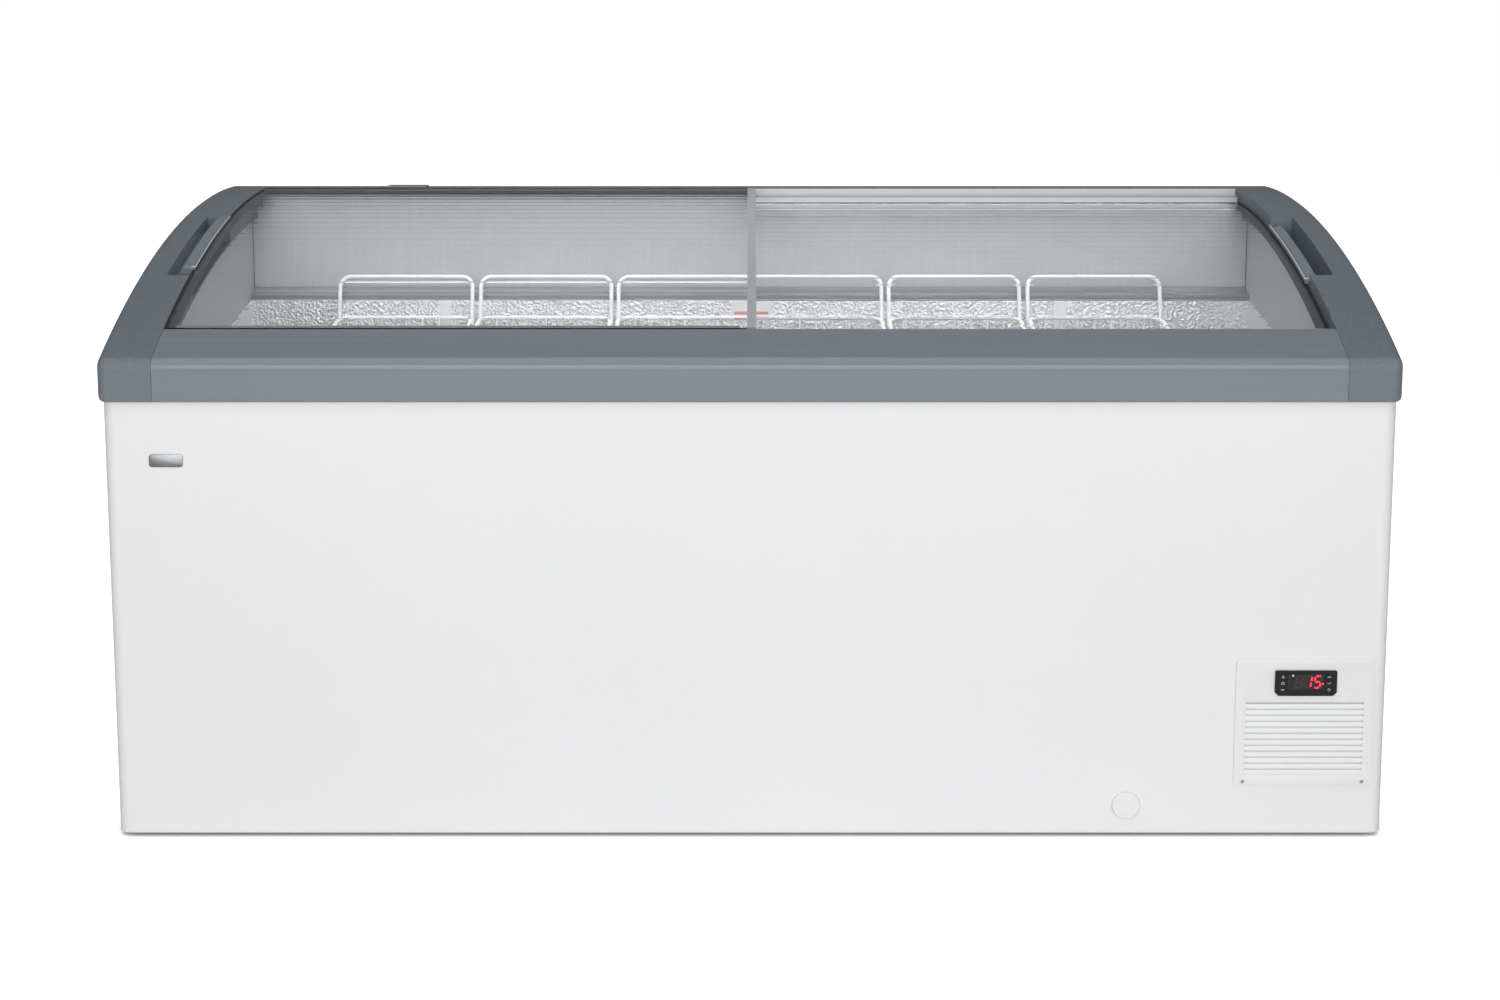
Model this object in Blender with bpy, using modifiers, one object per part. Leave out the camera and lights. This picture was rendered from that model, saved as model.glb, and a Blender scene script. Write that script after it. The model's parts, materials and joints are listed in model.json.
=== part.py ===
"""Chest freezer for a shop floor: white steel cabinet, grey top frame, two curved sliding glass lids.

Metres, +Z up, the front faces -Y. The origin is on the floor, under the middle of the cabinet.
The lids, their tracks and the top of the frame all follow arcs about one axis along X.
"""
import math

import bmesh
import bpy
from mathutils import Matrix, Vector

# ---- driving dimensions -------------------------------------------------------------------------
WIDTH = 1.800                   # across the top frame
DEPTH = 0.700                   # front of the top frame to its back
GAP = 0.0003                    # clearance between pieces that touch
SHEET = 0.002                   # outer steel and liner sheet
FOOT_HEIGHT = 0.008
FOOT_RADIUS = 0.020
FOOT_PLACES = {
    "front_left": (-0.80, -0.29),
    "front_right": (0.80, -0.29),
    "rear_left": (-0.80, 0.29),
    "rear_right": (0.80, 0.29),
}
BASE_TOP = FOOT_HEIGHT + SHEET + GAP

FRONT = -DEPTH / 2
REAR = DEPTH / 2

BODY_HALF = 0.8965              # half width of the white cabinet
BODY_FRONT = FRONT + 0.006
BODY_REAR = REAR - 0.003
BODY_BOTTOM = 0.006
BODY_TOP = 0.626
BODY_CORNER = 0.018             # radius of the cabinet's front corners
REAR_RETURN = 0.880             # the side sheets turn inwards to this half width at the back
VENTS = 8                       # slots in the rear panel behind the compressor
VENT_X = (0.650, 0.840)
VENT_FIRST = 0.060
VENT_PITCH = 0.022
VENT_HEIGHT = 0.008
GLAND = (0.632, 0.100)

ARC_CENTRE_Y = REAR             # axis of every lid arc, level with the back of the frame
ARC_CENTRE_Z = -0.506
FRAME_RADIUS = 1.380            # top of the frame and of the upper lid
LID_STEP = 0.020                # the lower lid runs this far under the upper one
GLASS = 0.005
NOSE_RADIUS = 0.018             # rounded front edge of the top frame
ARC_STEPS = 24

CAP_INNER = 0.8235              # inner face of the end caps
CAP_RECESS = 0.836              # the caps step out to this half width below the lids
CAP_LIP_RADIUS = 1.335
CAP_LIP_ANGLE = 29.0
CAP_RECESS_Y = 0.330            # the recess runs this far to the front and the back
CAP_RECESS_LOW = 0.500
CAP_EDGE = 0.012
RAIL_HALF = CAP_INNER - 0.0005
RAIL_INNER_ANGLE = 27.46        # degrees from vertical, where the lids start behind the front rail
RAIL_SEAT = 0.600               # the front rail sits on the foam at this height
RAIL_WALL = 0.004
RAIL_LIP = 0.2892               # front of the rear rail's top
TRACK_RADIUS = 1.340
TRACK_OUTER_ANGLE = 27.42
TRACK_STEP_ANGLE = 26.87
TRACK_INNER_ANGLE = 26.0
REAR_TRACK_Y = (0.2755, 0.2888)  # the rear track's riser and its back
REAR_TRACK_BOTTOM = 0.8248
REAR_TRACK_LOW = 0.8418
REAR_TRACK_HIGH = 0.8600
CATCH_X = (-0.617, -0.550)
CATCH_Y = (0.298, 0.326)
CATCH_HEIGHT = 0.004

HANDLE_FRONT = -0.140
HANDLE_REAR = 0.060
HANDLE_OUTER = 0.843
HANDLE_INNER = 0.818
NOTCH_OUTER = 0.857
NOTCH_DEPTH = 0.042
NOTCH_MARGIN = 0.25             # degrees beyond each end of the handle

LINER_HALF = 0.830              # inside of the liner
LINER_FRONT = -0.275
LINER_REAR = 0.213
LINER_FLOOR = 0.075
LINER_TOP_FRONT = 0.600
LINER_TOP_REAR = 0.692
STEP_LEFT = 0.556               # the liner steps up over the compressor
STEP_TOP = 0.360
BAY_LEFT = 0.610                # compressor bay
BAY_TOP = 0.300

BACK_PANEL_FRONT = 0.243
BACK_PANEL_BOTTOM = 0.710
BACK_PANEL_TOP = 0.8245
PANEL_SHEET = 0.003
PANEL_HALF = 0.8315
SIDE_PANEL_X = (0.8323, 0.8355)
SIDE_PANEL_FRONT = -0.236
SIDE_PANEL_BOTTOM = 0.627
REAR_LEDGE = [(0.2153, 0.6925), (0.2425, 0.7035), (0.2425, 0.7095), (0.2153, 0.6985)]
FRONT_LEDGE_HALF = 0.800
FRONT_LEDGE_Z = (0.556, 0.560)
STRIP_X = {"left_wall_strip": (-0.517, -0.497), "right_wall_strip": (0.506, 0.526)}
STRIP_Z = (0.440, 0.688)

MULLION = (-0.004, 0.009)       # inner edge trim of the upper lid
LOWER_TRIM = (-0.003, 0.008)    # inner edge trim of the lower lid
LID_END = 0.8225
END_SEAL = 0.0037
SHOE = 0.0042                   # sliding shoe under the glass at the front
SHOE_ANGLE = 0.40
UPPER_FRONT_ANGLE = 27.35
LOWER_FRONT_ANGLE = 26.80
UPPER_GLASS_REAR = 0.2870
LOWER_GLASS_REAR = 0.2612
UPPER_PROFILE_Y = (0.2765, 0.2870)
LOWER_PROFILE_Y = (0.2620, 0.2745)
UPPER_PROFILE_TOP = 0.8667
LOWER_PROFILE_TOP = 0.8635
UPPER_HANDLE = (1.3640, 1.3860)
LOWER_HANDLE = (1.3440, 1.3722)

BASKET_FRONT = -0.235
BASKET_REAR = 0.200
BASKET_RIM_FRONT = 0.585
BASKET_RIM_REAR = 0.668
BASKET_FLOOR = 0.420
BASKET_WALL = 0.005
BASKET_TAPER = 0.012
LOOP_RISE = 0.062
LOOP_LEAN = 0.022
LOOP_RADIUS = 0.0035
LOOP_CORNER = 0.026
BASKET_SPANS = {
    "basket_1": (-0.685, -0.458),
    "basket_2": (-0.451, -0.227),
    "basket_3": (-0.222, 0.222),
    "basket_4": (0.227, 0.451),
    "basket_5": (0.458, 0.685),
}

GRILLE_X = (0.682, 0.877)
GRILLE_Z = (0.077, 0.260)
GRILLE_FRONT = BODY_FRONT - 0.0025
GRILLE_LAP = 0.0135             # the grille overlaps the opening in the shell by this much
LOUVRES = 12
LOUVRE_PITCH = 0.00886
LOUVRE_FIRST = 0.0945
LOUVRE_X = (0.695, 0.864)
LOUVRE_GAP = 0.0030
LOUVRE_TILT = 35.0
SCREW_X = (0.695, 0.863)
SCREW_Z = 0.0823
SCREW_HOLE = 0.0018
SCREW_HEAD = [(0.0, 0.0012), (0.0020, 0.0012), (0.0028, 0.0004), (0.0028, 0.0),
              (0.0015, 0.0), (0.0015, -0.010), (0.0, -0.010)]

BEZEL_X = (0.736, 0.8226)
BEZEL_Z = (0.208, 0.2445)
BEZEL_FRONT = FRONT + 0.0006
BEZEL_BACK = -0.300
BEZEL_MARGIN = 0.006
BEZEL_CUT = 0.005               # the bezel's lower corners are cut off
BEZEL_ROUND = 0.002
WINDOW_X = (0.7531, 0.8046)
WINDOW_Z = (0.2169, 0.2397)
WINDOW_DEPTH = 0.0010
KEY_X = 0.8115
KEY_RADIUS = 0.0030
KEY_DEPTH = 0.0020
KEY_SUNK = 0.0006
KEY_ZS = {"key_up": 0.2356, "key_down": 0.2263, "key_set": 0.2170}

DRAIN_X = 0.5316
DRAIN_Z = 0.0465
DRAIN_Y = -0.250                # where the drain drops through the liner floor
DRAIN_TUBE = 0.010
DRAIN_WALL = 0.002
DRAIN_CAP = 0.020
DRAIN_BEND = 0.008
DRAIN_CHANNEL = 0.0125          # half width of the channel left for the tube in the foam
DRAIN_HOLE = 0.007
PLUG_LENGTH = 0.018

TRAY_X = (BAY_LEFT + 0.004, 0.890)
TRAY_Y = (0.010, 0.300)
COMPRESSOR = (0.750, 0.130, BASE_TOP + SHEET + GAP)
COMPRESSOR_PROFILE = [(0.0, 0.190), (0.045, 0.187), (0.075, 0.172), (0.086, 0.145), (0.088, 0.100),
                      (0.093, 0.096), (0.093, 0.092), (0.088, 0.088), (0.086, 0.045), (0.072, 0.018),
                      (0.045, 0.008), (0.045, 0.0), (0.0, 0.0)]
DRIER = (0.650, -0.080, 0.120)
DRIER_RADIUS = 0.010
DRIER_LENGTH = 0.110
UNIT_BOTTOM = 0.0140            # underside of the condenser and the fan shroud
CONDENSER_LEFT = 0.640
CONDENSER_Y = (-0.322, -0.278, -0.272)  # fin tips, fin roots and back
CONDENSER_TOP = 0.195
FINS = 24
FIN_PITCH = 0.0095
FIN_WIDTH = 0.0035
FAN_CENTRE = (0.750, -0.232, 0.115)
FAN_RADIUS = 0.070
FAN_HUB = 0.018
FAN_BLADES = 5
BLADE_PITCH = 32
SHROUD_HALF = 0.100
SHROUD_Y = (-0.262, -0.256)
SHROUD_TOP = 0.214
COIL_TURNS = 5
COIL_RADIUS = 0.004
COIL_PITCH = 0.040
COIL_BOTTOM = 0.390
COIL_BEND = 0.004
COIL_SPACE = 0.0125             # foam is left out this far from the liner where the coil runs
COIL_SPACE_Z = (0.366, 0.598)


# ---- scene and materials ------------------------------------------------------------------------
def clear_scene():
    """Start from an empty scene."""
    for thing in list(bpy.data.objects):
        bpy.data.objects.remove(thing, do_unlink=True)


def new_collection(name):
    collection = bpy.data.collections.new(name)
    bpy.context.scene.collection.children.link(collection)
    return collection


def material(name, colour, roughness, metallic=0.0, transmission=0.0):
    """A Principled BSDF with one colour."""
    made = bpy.data.materials.new(name)
    made.use_nodes = True
    shader = made.node_tree.nodes["Principled BSDF"]
    shader.inputs["Base Color"].default_value = (*colour, 1.0)
    shader.inputs["Roughness"].default_value = roughness
    shader.inputs["Metallic"].default_value = metallic
    shader.inputs["Transmission Weight"].default_value = transmission
    return made


clear_scene()
PARTS = new_collection("chest_freezer")
CUTTERS = new_collection("cutters")

WHITE_STEEL = material("white_coated_steel", (0.86, 0.87, 0.88), 0.35)
WHITE_PLASTIC = material("white_plastic", (0.84, 0.84, 0.83), 0.45)
GREY_RAIL = material("grey_rail_plastic", (0.25, 0.28, 0.31), 0.40)
GREY_CAP = material("grey_cap_plastic", (0.10, 0.13, 0.155), 0.55)
GREY_PANEL = material("pale_grey_plastic", (0.52, 0.54, 0.56), 0.50)
BLACK_PLASTIC = material("black_plastic", (0.02, 0.02, 0.022), 0.40)
ALUMINIUM = material("embossed_aluminium", (0.80, 0.81, 0.82), 0.35, metallic=1.0)
PROFILE = material("anodised_profile", (0.70, 0.71, 0.72), 0.30, metallic=1.0)
GALVANISED = material("galvanised_steel", (0.55, 0.56, 0.57), 0.45, metallic=1.0)
COPPER = material("copper_tube", (0.72, 0.38, 0.22), 0.35, metallic=1.0)
LID_GLASS = material("lid_glass", (0.92, 0.96, 0.95), 0.03, transmission=0.95)
WINDOW = material("display_window", (0.03, 0.005, 0.005), 0.10)
FOAM = material("insulation_foam", (0.85, 0.76, 0.50), 0.90)
WIRE = material("white_coated_wire", (0.88, 0.88, 0.88), 0.35)
BLACK_PAINT = material("black_painted_steel", (0.015, 0.015, 0.015), 0.35)
RUBBER = material("black_rubber", (0.02, 0.02, 0.02), 0.80)


# ---- making pieces ------------------------------------------------------------------------------
def add(name, mesh, finish, parent=None, at=(0.0, 0.0, 0.0), rotation=(0.0, 0.0, 0.0)):
    """Put a mesh in the parts collection; at is its place in the world."""
    made = bpy.data.objects.new(name, mesh)
    PARTS.objects.link(made)
    made.data.materials.append(finish)
    made.location = at
    made.rotation_euler = rotation
    if parent is not None:
        made.parent = parent
        made.location = Vector(at) - parent.location
    return made


def body(name, at):
    """An empty that carries the pieces of one moving body."""
    empty = bpy.data.objects.new(name + "_axis", None)
    PARTS.objects.link(empty)
    empty.location = at
    return empty


def shade_round(mesh):
    mesh.shade_smooth()
    mesh.set_sharp_from_angle(angle=math.radians(35))


def block(name, x, y, z, finish, parent=None, bevel=0.0):
    """A box between pairs of coordinates, with its edges rounded if bevel is given."""
    size = (x[1] - x[0], y[1] - y[0], z[1] - z[0])
    centre = ((x[0] + x[1]) / 2, (y[0] + y[1]) / 2, (z[0] + z[1]) / 2)
    form = bmesh.new()
    bmesh.ops.create_cube(form, size=1.0, matrix=Matrix.Diagonal((*size, 1.0)))
    mesh = bpy.data.meshes.new(name)
    form.to_mesh(mesh)
    form.free()
    made = add(name, mesh, finish, parent, centre)
    if bevel:
        round_edges(made, bevel)
    return made


def round_edges(piece, width, segments=2):
    made = piece.modifiers.new("rounded", "BEVEL")
    made.width = width
    made.segments = segments
    made.limit_method = "ANGLE"
    made.angle_limit = math.radians(50)


def cylinder(name, radius, length, at, finish, parent=None, along="Z", segments=32):
    """A cylinder centred on a point."""
    turn = {"X": (0.0, math.pi / 2, 0.0), "Y": (math.pi / 2, 0.0, 0.0), "Z": (0.0, 0.0, 0.0)}[along]
    form = bmesh.new()
    bmesh.ops.create_cone(
        form, cap_ends=True, segments=segments, radius1=radius, radius2=radius, depth=length)
    mesh = bpy.data.meshes.new(name)
    form.to_mesh(mesh)
    form.free()
    shade_round(mesh)
    return add(name, mesh, finish, parent, at, turn)


def turned(name, profile, at, finish, parent=None, rotation=(0.0, 0.0, 0.0), steps=32):
    """A profile of (radius, height) points, from the top down its outer side, turned about Z."""
    mesh = bpy.data.meshes.new(name)
    points = [(radius, 0.0, height) for radius, height in profile]
    edges = [(index, index + 1) for index in range(len(points) - 1)]
    mesh.from_pydata(points, edges, [])
    made = add(name, mesh, finish, parent, at, rotation)
    screw = made.modifiers.new("turned", "SCREW")
    screw.steps = steps
    screw.render_steps = steps
    screw.use_merge_vertices = True
    screw.merge_threshold = 0.00005
    screw.use_smooth_shade = True
    return made


def curve_object(name, spline_points, cyclic):
    """A curve through the points, ready for a bevel or an extrusion."""
    curve = bpy.data.curves.new(name, "CURVE")
    spline = curve.splines.new("POLY")
    spline.points.add(len(spline_points) - 1)
    for place, point in zip(spline.points, spline_points):
        place.co = (*point, 1.0)
    spline.use_cyclic_u = cyclic
    return bpy.data.objects.new(name, curve)


def curve_to_mesh(made, name):
    """The curve's evaluated mesh with its caps welded on; the curve is removed."""
    bpy.context.scene.collection.objects.link(made)
    bpy.context.view_layer.update()
    evaluated = made.evaluated_get(bpy.context.evaluated_depsgraph_get())
    mesh = bpy.data.meshes.new_from_object(evaluated)
    mesh.name = name
    mesh.transform(made.matrix_world)
    bpy.data.objects.remove(made, do_unlink=True)
    form = bmesh.new()
    form.from_mesh(mesh)
    bmesh.ops.remove_doubles(form, verts=form.verts, dist=0.00002)
    bmesh.ops.dissolve_limit(form, angle_limit=math.radians(0.05), verts=form.verts, edges=form.edges)
    bmesh.ops.recalc_face_normals(form, faces=form.faces)
    form.to_mesh(mesh)
    form.free()
    mesh.materials.clear()
    return mesh


PLANES = {
    "YZ": Matrix(((0, 0, 1), (1, 0, 0), (0, 1, 0))).to_4x4(),
    "XY": Matrix.Identity(4),
    "XZ": Matrix(((1, 0, 0), (0, 0, -1), (0, 1, 0))).to_4x4(),
}


def prism(name, outline, plane, low, high, finish, parent=None):
    """A flat outline in one plane, extruded from low to high along the third axis."""
    made = curve_object(name, [(u, v, 0.0) for u, v in outline], cyclic=True)
    made.data.dimensions = "2D"
    made.data.fill_mode = "BOTH"
    made.data.extrude = (high - low) / 2
    side = -1 if plane == "XZ" else 1
    lift = Matrix.Translation((0.0, 0.0, side * (low + high) / 2))
    made.matrix_world = PLANES[plane] @ lift
    mesh = curve_to_mesh(made, name)
    shade_round(mesh)
    anchor = Vector(parent.location) if parent else Vector((0.0, 0.0, 0.0))
    mesh.transform(Matrix.Translation(-anchor))
    return add(name, mesh, finish, parent, anchor)


def tube_mesh(name, points, radius, cyclic=False):
    """A solid round wire through the points."""
    made = curve_object(name, points, cyclic)
    made.data.dimensions = "3D"
    made.data.bevel_depth = radius
    made.data.bevel_resolution = 2
    made.data.use_fill_caps = not cyclic
    mesh = curve_to_mesh(made, name)
    shade_round(mesh)
    return mesh


def as_cutter(piece):
    """Move a piece out of the parts, to be used only in a Boolean."""
    PARTS.objects.unlink(piece)
    CUTTERS.objects.link(piece)
    piece.hide_render = True
    piece.display_type = "WIRE"
    return piece


def combine(target, other, operation):
    made = target.modifiers.new(operation.lower(), "BOOLEAN")
    made.operation = operation
    made.object = as_cutter(other)
    made.solver = "EXACT"


def cut(target, other):
    combine(target, other, "DIFFERENCE")


def drill(target, name, radius, at, length=0.02):
    """A round hole along Y."""
    cut(target, cylinder("cut_" + name, radius, length, at, BLACK_PLASTIC, along="Y"))


def join(target, other):
    combine(target, other, "UNION")


# ---- outlines -----------------------------------------------------------------------------------
def arc(centre, radius, start, end, steps):
    """Points on a circle; angles in degrees, anticlockwise from the first axis."""
    turn = [math.radians(start + (end - start) * index / steps) for index in range(steps + 1)]
    return [(centre[0] + radius * math.cos(a), centre[1] + radius * math.sin(a)) for a in turn]


def lid_point(radius, angle):
    """A point (y, z) on a lid arc; angle in degrees forward from vertical."""
    turn = math.radians(angle)
    return (ARC_CENTRE_Y - radius * math.sin(turn), ARC_CENTRE_Z + radius * math.cos(turn))


def lid_angle(radius, y):
    """The angle at which a lid arc passes a given y."""
    return math.degrees(math.asin((ARC_CENTRE_Y - y) / radius))


def lid_arc(radius, start, end, steps=ARC_STEPS):
    return [lid_point(radius, start + (end - start) * index / steps) for index in range(steps + 1)]


def lid_band(low, high, start, end, steps=ARC_STEPS):
    """Outline of a curved bar between two radii and two angles."""
    return lid_arc(high, start, end, steps) + lid_arc(low, end, start, steps)


def frame_front(stop_angle, steps):
    """The frame's front outline, up the face, round the nose and along the top arc."""
    sine = (ARC_CENTRE_Y - (FRONT + NOSE_RADIUS)) / (FRAME_RADIUS - NOSE_RADIUS)
    tangent = math.degrees(math.asin(sine))
    nose_centre = lid_point(FRAME_RADIUS - NOSE_RADIUS, tangent)
    nose = arc(nose_centre, NOSE_RADIUS, 180, 90 + tangent, 8)
    top = lid_arc(FRAME_RADIUS, tangent, stop_angle, steps)
    return [(FRONT, BODY_TOP + GAP)] + nose + top[1:]


def cabinet_plan(inset, rear):
    """Plan of the cabinet inside its outer face, with round front corners, back to a given y."""
    half = BODY_HALF - inset
    radius = BODY_CORNER - inset
    right = arc((half - radius, BODY_FRONT + inset + radius), radius, 0, -90, 8)
    left = [(-x, y) for x, y in reversed(right)]
    return [(half, rear)] + right + left + [(-half, rear)]


def shell_path(inset):
    """Plan of the wrapped sheet from the right return, round the front, to the left return."""
    rear = BODY_REAR - inset
    return [(REAR_RETURN, rear)] + cabinet_plan(inset, rear) + [(-REAR_RETURN, rear)]


# ---- cabinet ------------------------------------------------------------------------------------
def make_outer_shell():
    outline = shell_path(0.0) + list(reversed(shell_path(SHEET)))
    shell = prism("outer_shell", outline, "XY", BODY_BOTTOM, BODY_TOP, WHITE_STEEL)
    wall = (BODY_FRONT - 0.01, BODY_FRONT + 0.01)
    x = (GRILLE_X[0] + GRILLE_LAP, GRILLE_X[1] - GRILLE_LAP)
    z = (GRILLE_Z[0] + GRILLE_LAP, GRILLE_Z[1] - GRILLE_LAP)
    cut(shell, block("cut_grille", x, wall, z, WHITE_STEEL))
    drill(shell, "drain", DRAIN_TUBE + GAP, (DRAIN_X, BODY_FRONT, DRAIN_Z))
    for number, x in enumerate(SCREW_X):
        drill(shell, f"screw_{number}", SCREW_HOLE, (x, BODY_FRONT, SCREW_Z))


def make_rear_panel():
    rear = BODY_REAR - SHEET - GAP
    x = (-BODY_HALF + SHEET + GAP, BODY_HALF - SHEET - GAP)
    panel = block("rear_panel", x, (rear - SHEET, rear), (BASE_TOP, BODY_TOP - GAP), GALVANISED)
    wall = (rear - 0.01, rear + 0.01)
    for number in range(VENTS):
        z = VENT_FIRST + VENT_PITCH * number
        cut(panel, block(f"cut_vent_{number}", VENT_X, wall, (z, z + VENT_HEIGHT), GALVANISED))
    return panel


def make_base():
    plan = cabinet_plan(SHEET + GAP, BODY_REAR - SHEET - 2 * GAP)
    prism("base_plate", plan, "XY", FOOT_HEIGHT, FOOT_HEIGHT + SHEET, GALVANISED)
    height = FOOT_HEIGHT - GAP
    for place, (x, y) in FOOT_PLACES.items():
        cylinder(f"foot_{place}", FOOT_RADIUS, height, (x, y, height / 2), RUBBER)


def liner_side(grow, top_rise):
    """Side outline of the liner, grown outwards by some distance, with its top raised."""
    return [(LINER_FRONT - grow, LINER_FLOOR - grow), (LINER_REAR + grow, LINER_FLOOR - grow),
            (LINER_REAR + grow, LINER_TOP_REAR + top_rise), (LINER_FRONT - grow, LINER_TOP_FRONT + top_rise)]


def liner_form(name, grow, top_rise, finish):
    """The liner's form with the step over the compressor bay left out."""
    half = LINER_HALF + grow
    form = prism(name, liner_side(grow, top_rise), "YZ", -half, half, finish)
    step = block(name + "_step", (STEP_LEFT + grow, 1.0), (-0.5, 0.5), (-0.1, STEP_TOP - grow), finish)
    cut(form, step)
    return form


def make_inner_liner():
    liner = liner_form("inner_liner", SHEET, 0.0, ALUMINIUM)
    cut(liner, liner_form("cut_liner_inside", 0.0, 0.1, ALUMINIUM))
    cut(liner, cylinder("cut_drain_hole", DRAIN_HOLE, 0.03, (DRAIN_X, DRAIN_Y, LINER_FLOOR), ALUMINIUM))


def make_insulation():
    """Foam that fills the walls, with an upright at the rear, around the liner, coil, drain and bay."""
    rear = BODY_REAR - 2 * SHEET - 2 * GAP
    plan = cabinet_plan(SHEET + GAP, rear)
    foam = prism("insulation_foam", plan, "XY", BASE_TOP, BODY_TOP - 0.0005, FOAM)
    front = LINER_REAR + PANEL_SHEET
    panel = BACK_PANEL_FRONT + PANEL_SHEET + 0.0005
    top = BACK_PANEL_TOP - 0.0005
    upright = [(front, RAIL_SEAT), (rear, RAIL_SEAT), (rear, top), (panel, top),
               (panel, LINER_TOP_REAR + 0.008), (front, LINER_TOP_REAR - 0.003)]
    join(foam, prism("foam_upright", upright, "YZ", -RAIL_HALF, RAIL_HALF, FOAM))
    cut(foam, liner_form("cut_liner_space", SHEET + GAP, 0.1, FOAM))
    half = LINER_HALF + COIL_SPACE
    coil_y = (LINER_FRONT - COIL_SPACE, LINER_REAR + COIL_SPACE)
    cut(foam, block("cut_coil_space", (-half, half), coil_y, COIL_SPACE_Z, FOAM))
    cut(foam, block("cut_bay", (BAY_LEFT, 1.0), (-0.5, 0.5), (-0.1, BAY_TOP), FOAM))
    half = CAP_INNER + 0.001
    cut(foam, block("cut_rail_seat", (-half, half), (-0.5, SIDE_PANEL_FRONT), (RAIL_SEAT, 0.7), FOAM))
    drain_x = (DRAIN_X - DRAIN_CHANNEL, DRAIN_X + DRAIN_CHANNEL)
    drain_y = (-0.5, DRAIN_Y + DRAIN_CHANNEL)
    cut(foam, block("cut_drain_channel", drain_x, drain_y, (DRAIN_Z - DRAIN_CHANNEL, LINER_FLOOR), FOAM))


def make_evaporator_coil():
    """A tube wound round the liner in the foam, one rectangular turn above the next."""
    half = LINER_HALF + SHEET + GAP + COIL_RADIUS + 0.0005
    front = LINER_FRONT - (half - LINER_HALF)
    rear = LINER_REAR + (half - LINER_HALF)
    bend = COIL_BEND
    plan = [(-half, front + bend), (-half + bend, front), (half - bend, front), (half, front + bend),
            (half, rear - bend), (half - bend, rear), (-half + bend, rear), (-half, rear - bend)]
    points = []
    for turn in range(COIL_TURNS):
        for index, (x, y) in enumerate(plan):
            height = COIL_BOTTOM + COIL_PITCH * (turn + index / len(plan))
            points.append((x, y, height))
    add("evaporator_coil", tube_mesh("evaporator_coil", points, COIL_RADIUS), COPPER)


# ---- top frame ----------------------------------------------------------------------------------
def make_front_rail():
    radius = TRACK_RADIUS - GAP
    inner = lid_point(radius, TRACK_INNER_ANGLE)
    bottom = RAIL_SEAT + 0.003
    front = BODY_FRONT + SHEET + GAP
    outline = frame_front(RAIL_INNER_ANGLE, 3)
    outline += [lid_point(radius, RAIL_INNER_ANGLE), inner, (inner[0], bottom)]
    outline += [(front, bottom), (front, BODY_TOP + GAP)]
    prism("front_rail", outline, "YZ", -RAIL_HALF, RAIL_HALF, GREY_RAIL)


def make_rear_rail():
    top = FRAME_RADIUS + ARC_CENTRE_Z
    bottom = BODY_TOP + GAP
    inner_top = top - RAIL_WALL
    lip = RAIL_LIP + RAIL_WALL
    back = REAR - RAIL_WALL
    outline = [(REAR, bottom), (REAR, top), (RAIL_LIP, top), (RAIL_LIP, REAR_TRACK_LOW)]
    outline += [(lip, REAR_TRACK_LOW), (lip, inner_top), (back, inner_top), (back, bottom)]
    prism("rear_rail", outline, "YZ", -RAIL_HALF, RAIL_HALF, GREY_RAIL)
    block("lid_catch", CATCH_X, CATCH_Y, (top + GAP, top + CATCH_HEIGHT), GREY_CAP, bevel=0.0015)


def make_end_cap(name, side):
    outline = frame_front(0.0, ARC_STEPS) + [(REAR, BODY_TOP + GAP)]
    ends = sorted((side * CAP_INNER, side * WIDTH / 2))
    cap = prism(name, outline, "YZ", ends[0], ends[1], GREY_CAP)
    round_outer_edges(cap, side * WIDTH / 2)
    under_lip = [lid_point(CAP_LIP_RADIUS, CAP_LIP_ANGLE), (-CAP_RECESS_Y, CAP_RECESS_LOW),
                 (CAP_RECESS_Y, CAP_RECESS_LOW)]
    under_lip += lid_arc(CAP_LIP_RADIUS, lid_angle(CAP_LIP_RADIUS, CAP_RECESS_Y), CAP_LIP_ANGLE)[:-1]
    inner = sorted((side * 0.75, side * CAP_RECESS))
    cut(cap, prism(name + "_recess", under_lip, "YZ", inner[0], inner[1], GREY_CAP))
    start = lid_angle(FRAME_RADIUS - LID_STEP, HANDLE_FRONT) + NOTCH_MARGIN
    end = lid_angle(FRAME_RADIUS, HANDLE_REAR) - NOTCH_MARGIN
    notch = lid_band(FRAME_RADIUS - NOTCH_DEPTH, FRAME_RADIUS + 0.02, start, end, 8)
    inner = sorted((side * 0.75, side * NOTCH_OUTER))
    cut(cap, prism(name + "_notch", notch, "YZ", inner[0], inner[1], GREY_CAP))


def round_outer_edges(piece, x):
    """Bevel only the edges that lie in the piece's outer end face."""
    weight = piece.data.attributes.new("bevel_weight_edge", "FLOAT", "EDGE")
    vertices = piece.data.vertices
    for edge in piece.data.edges:
        on_face = all(abs(vertices[index].co.x - x) < GAP for index in edge.vertices)
        weight.data[edge.index].value = 1.0 if on_face else 0.0
    made = piece.modifiers.new("rounded", "BEVEL")
    made.width = CAP_EDGE
    made.segments = 4
    made.limit_method = "WEIGHT"


def shoe_seat(radius):
    """Radius at which a lid's shoe runs on the front track."""
    return radius - GLASS - SHOE - GAP


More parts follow.
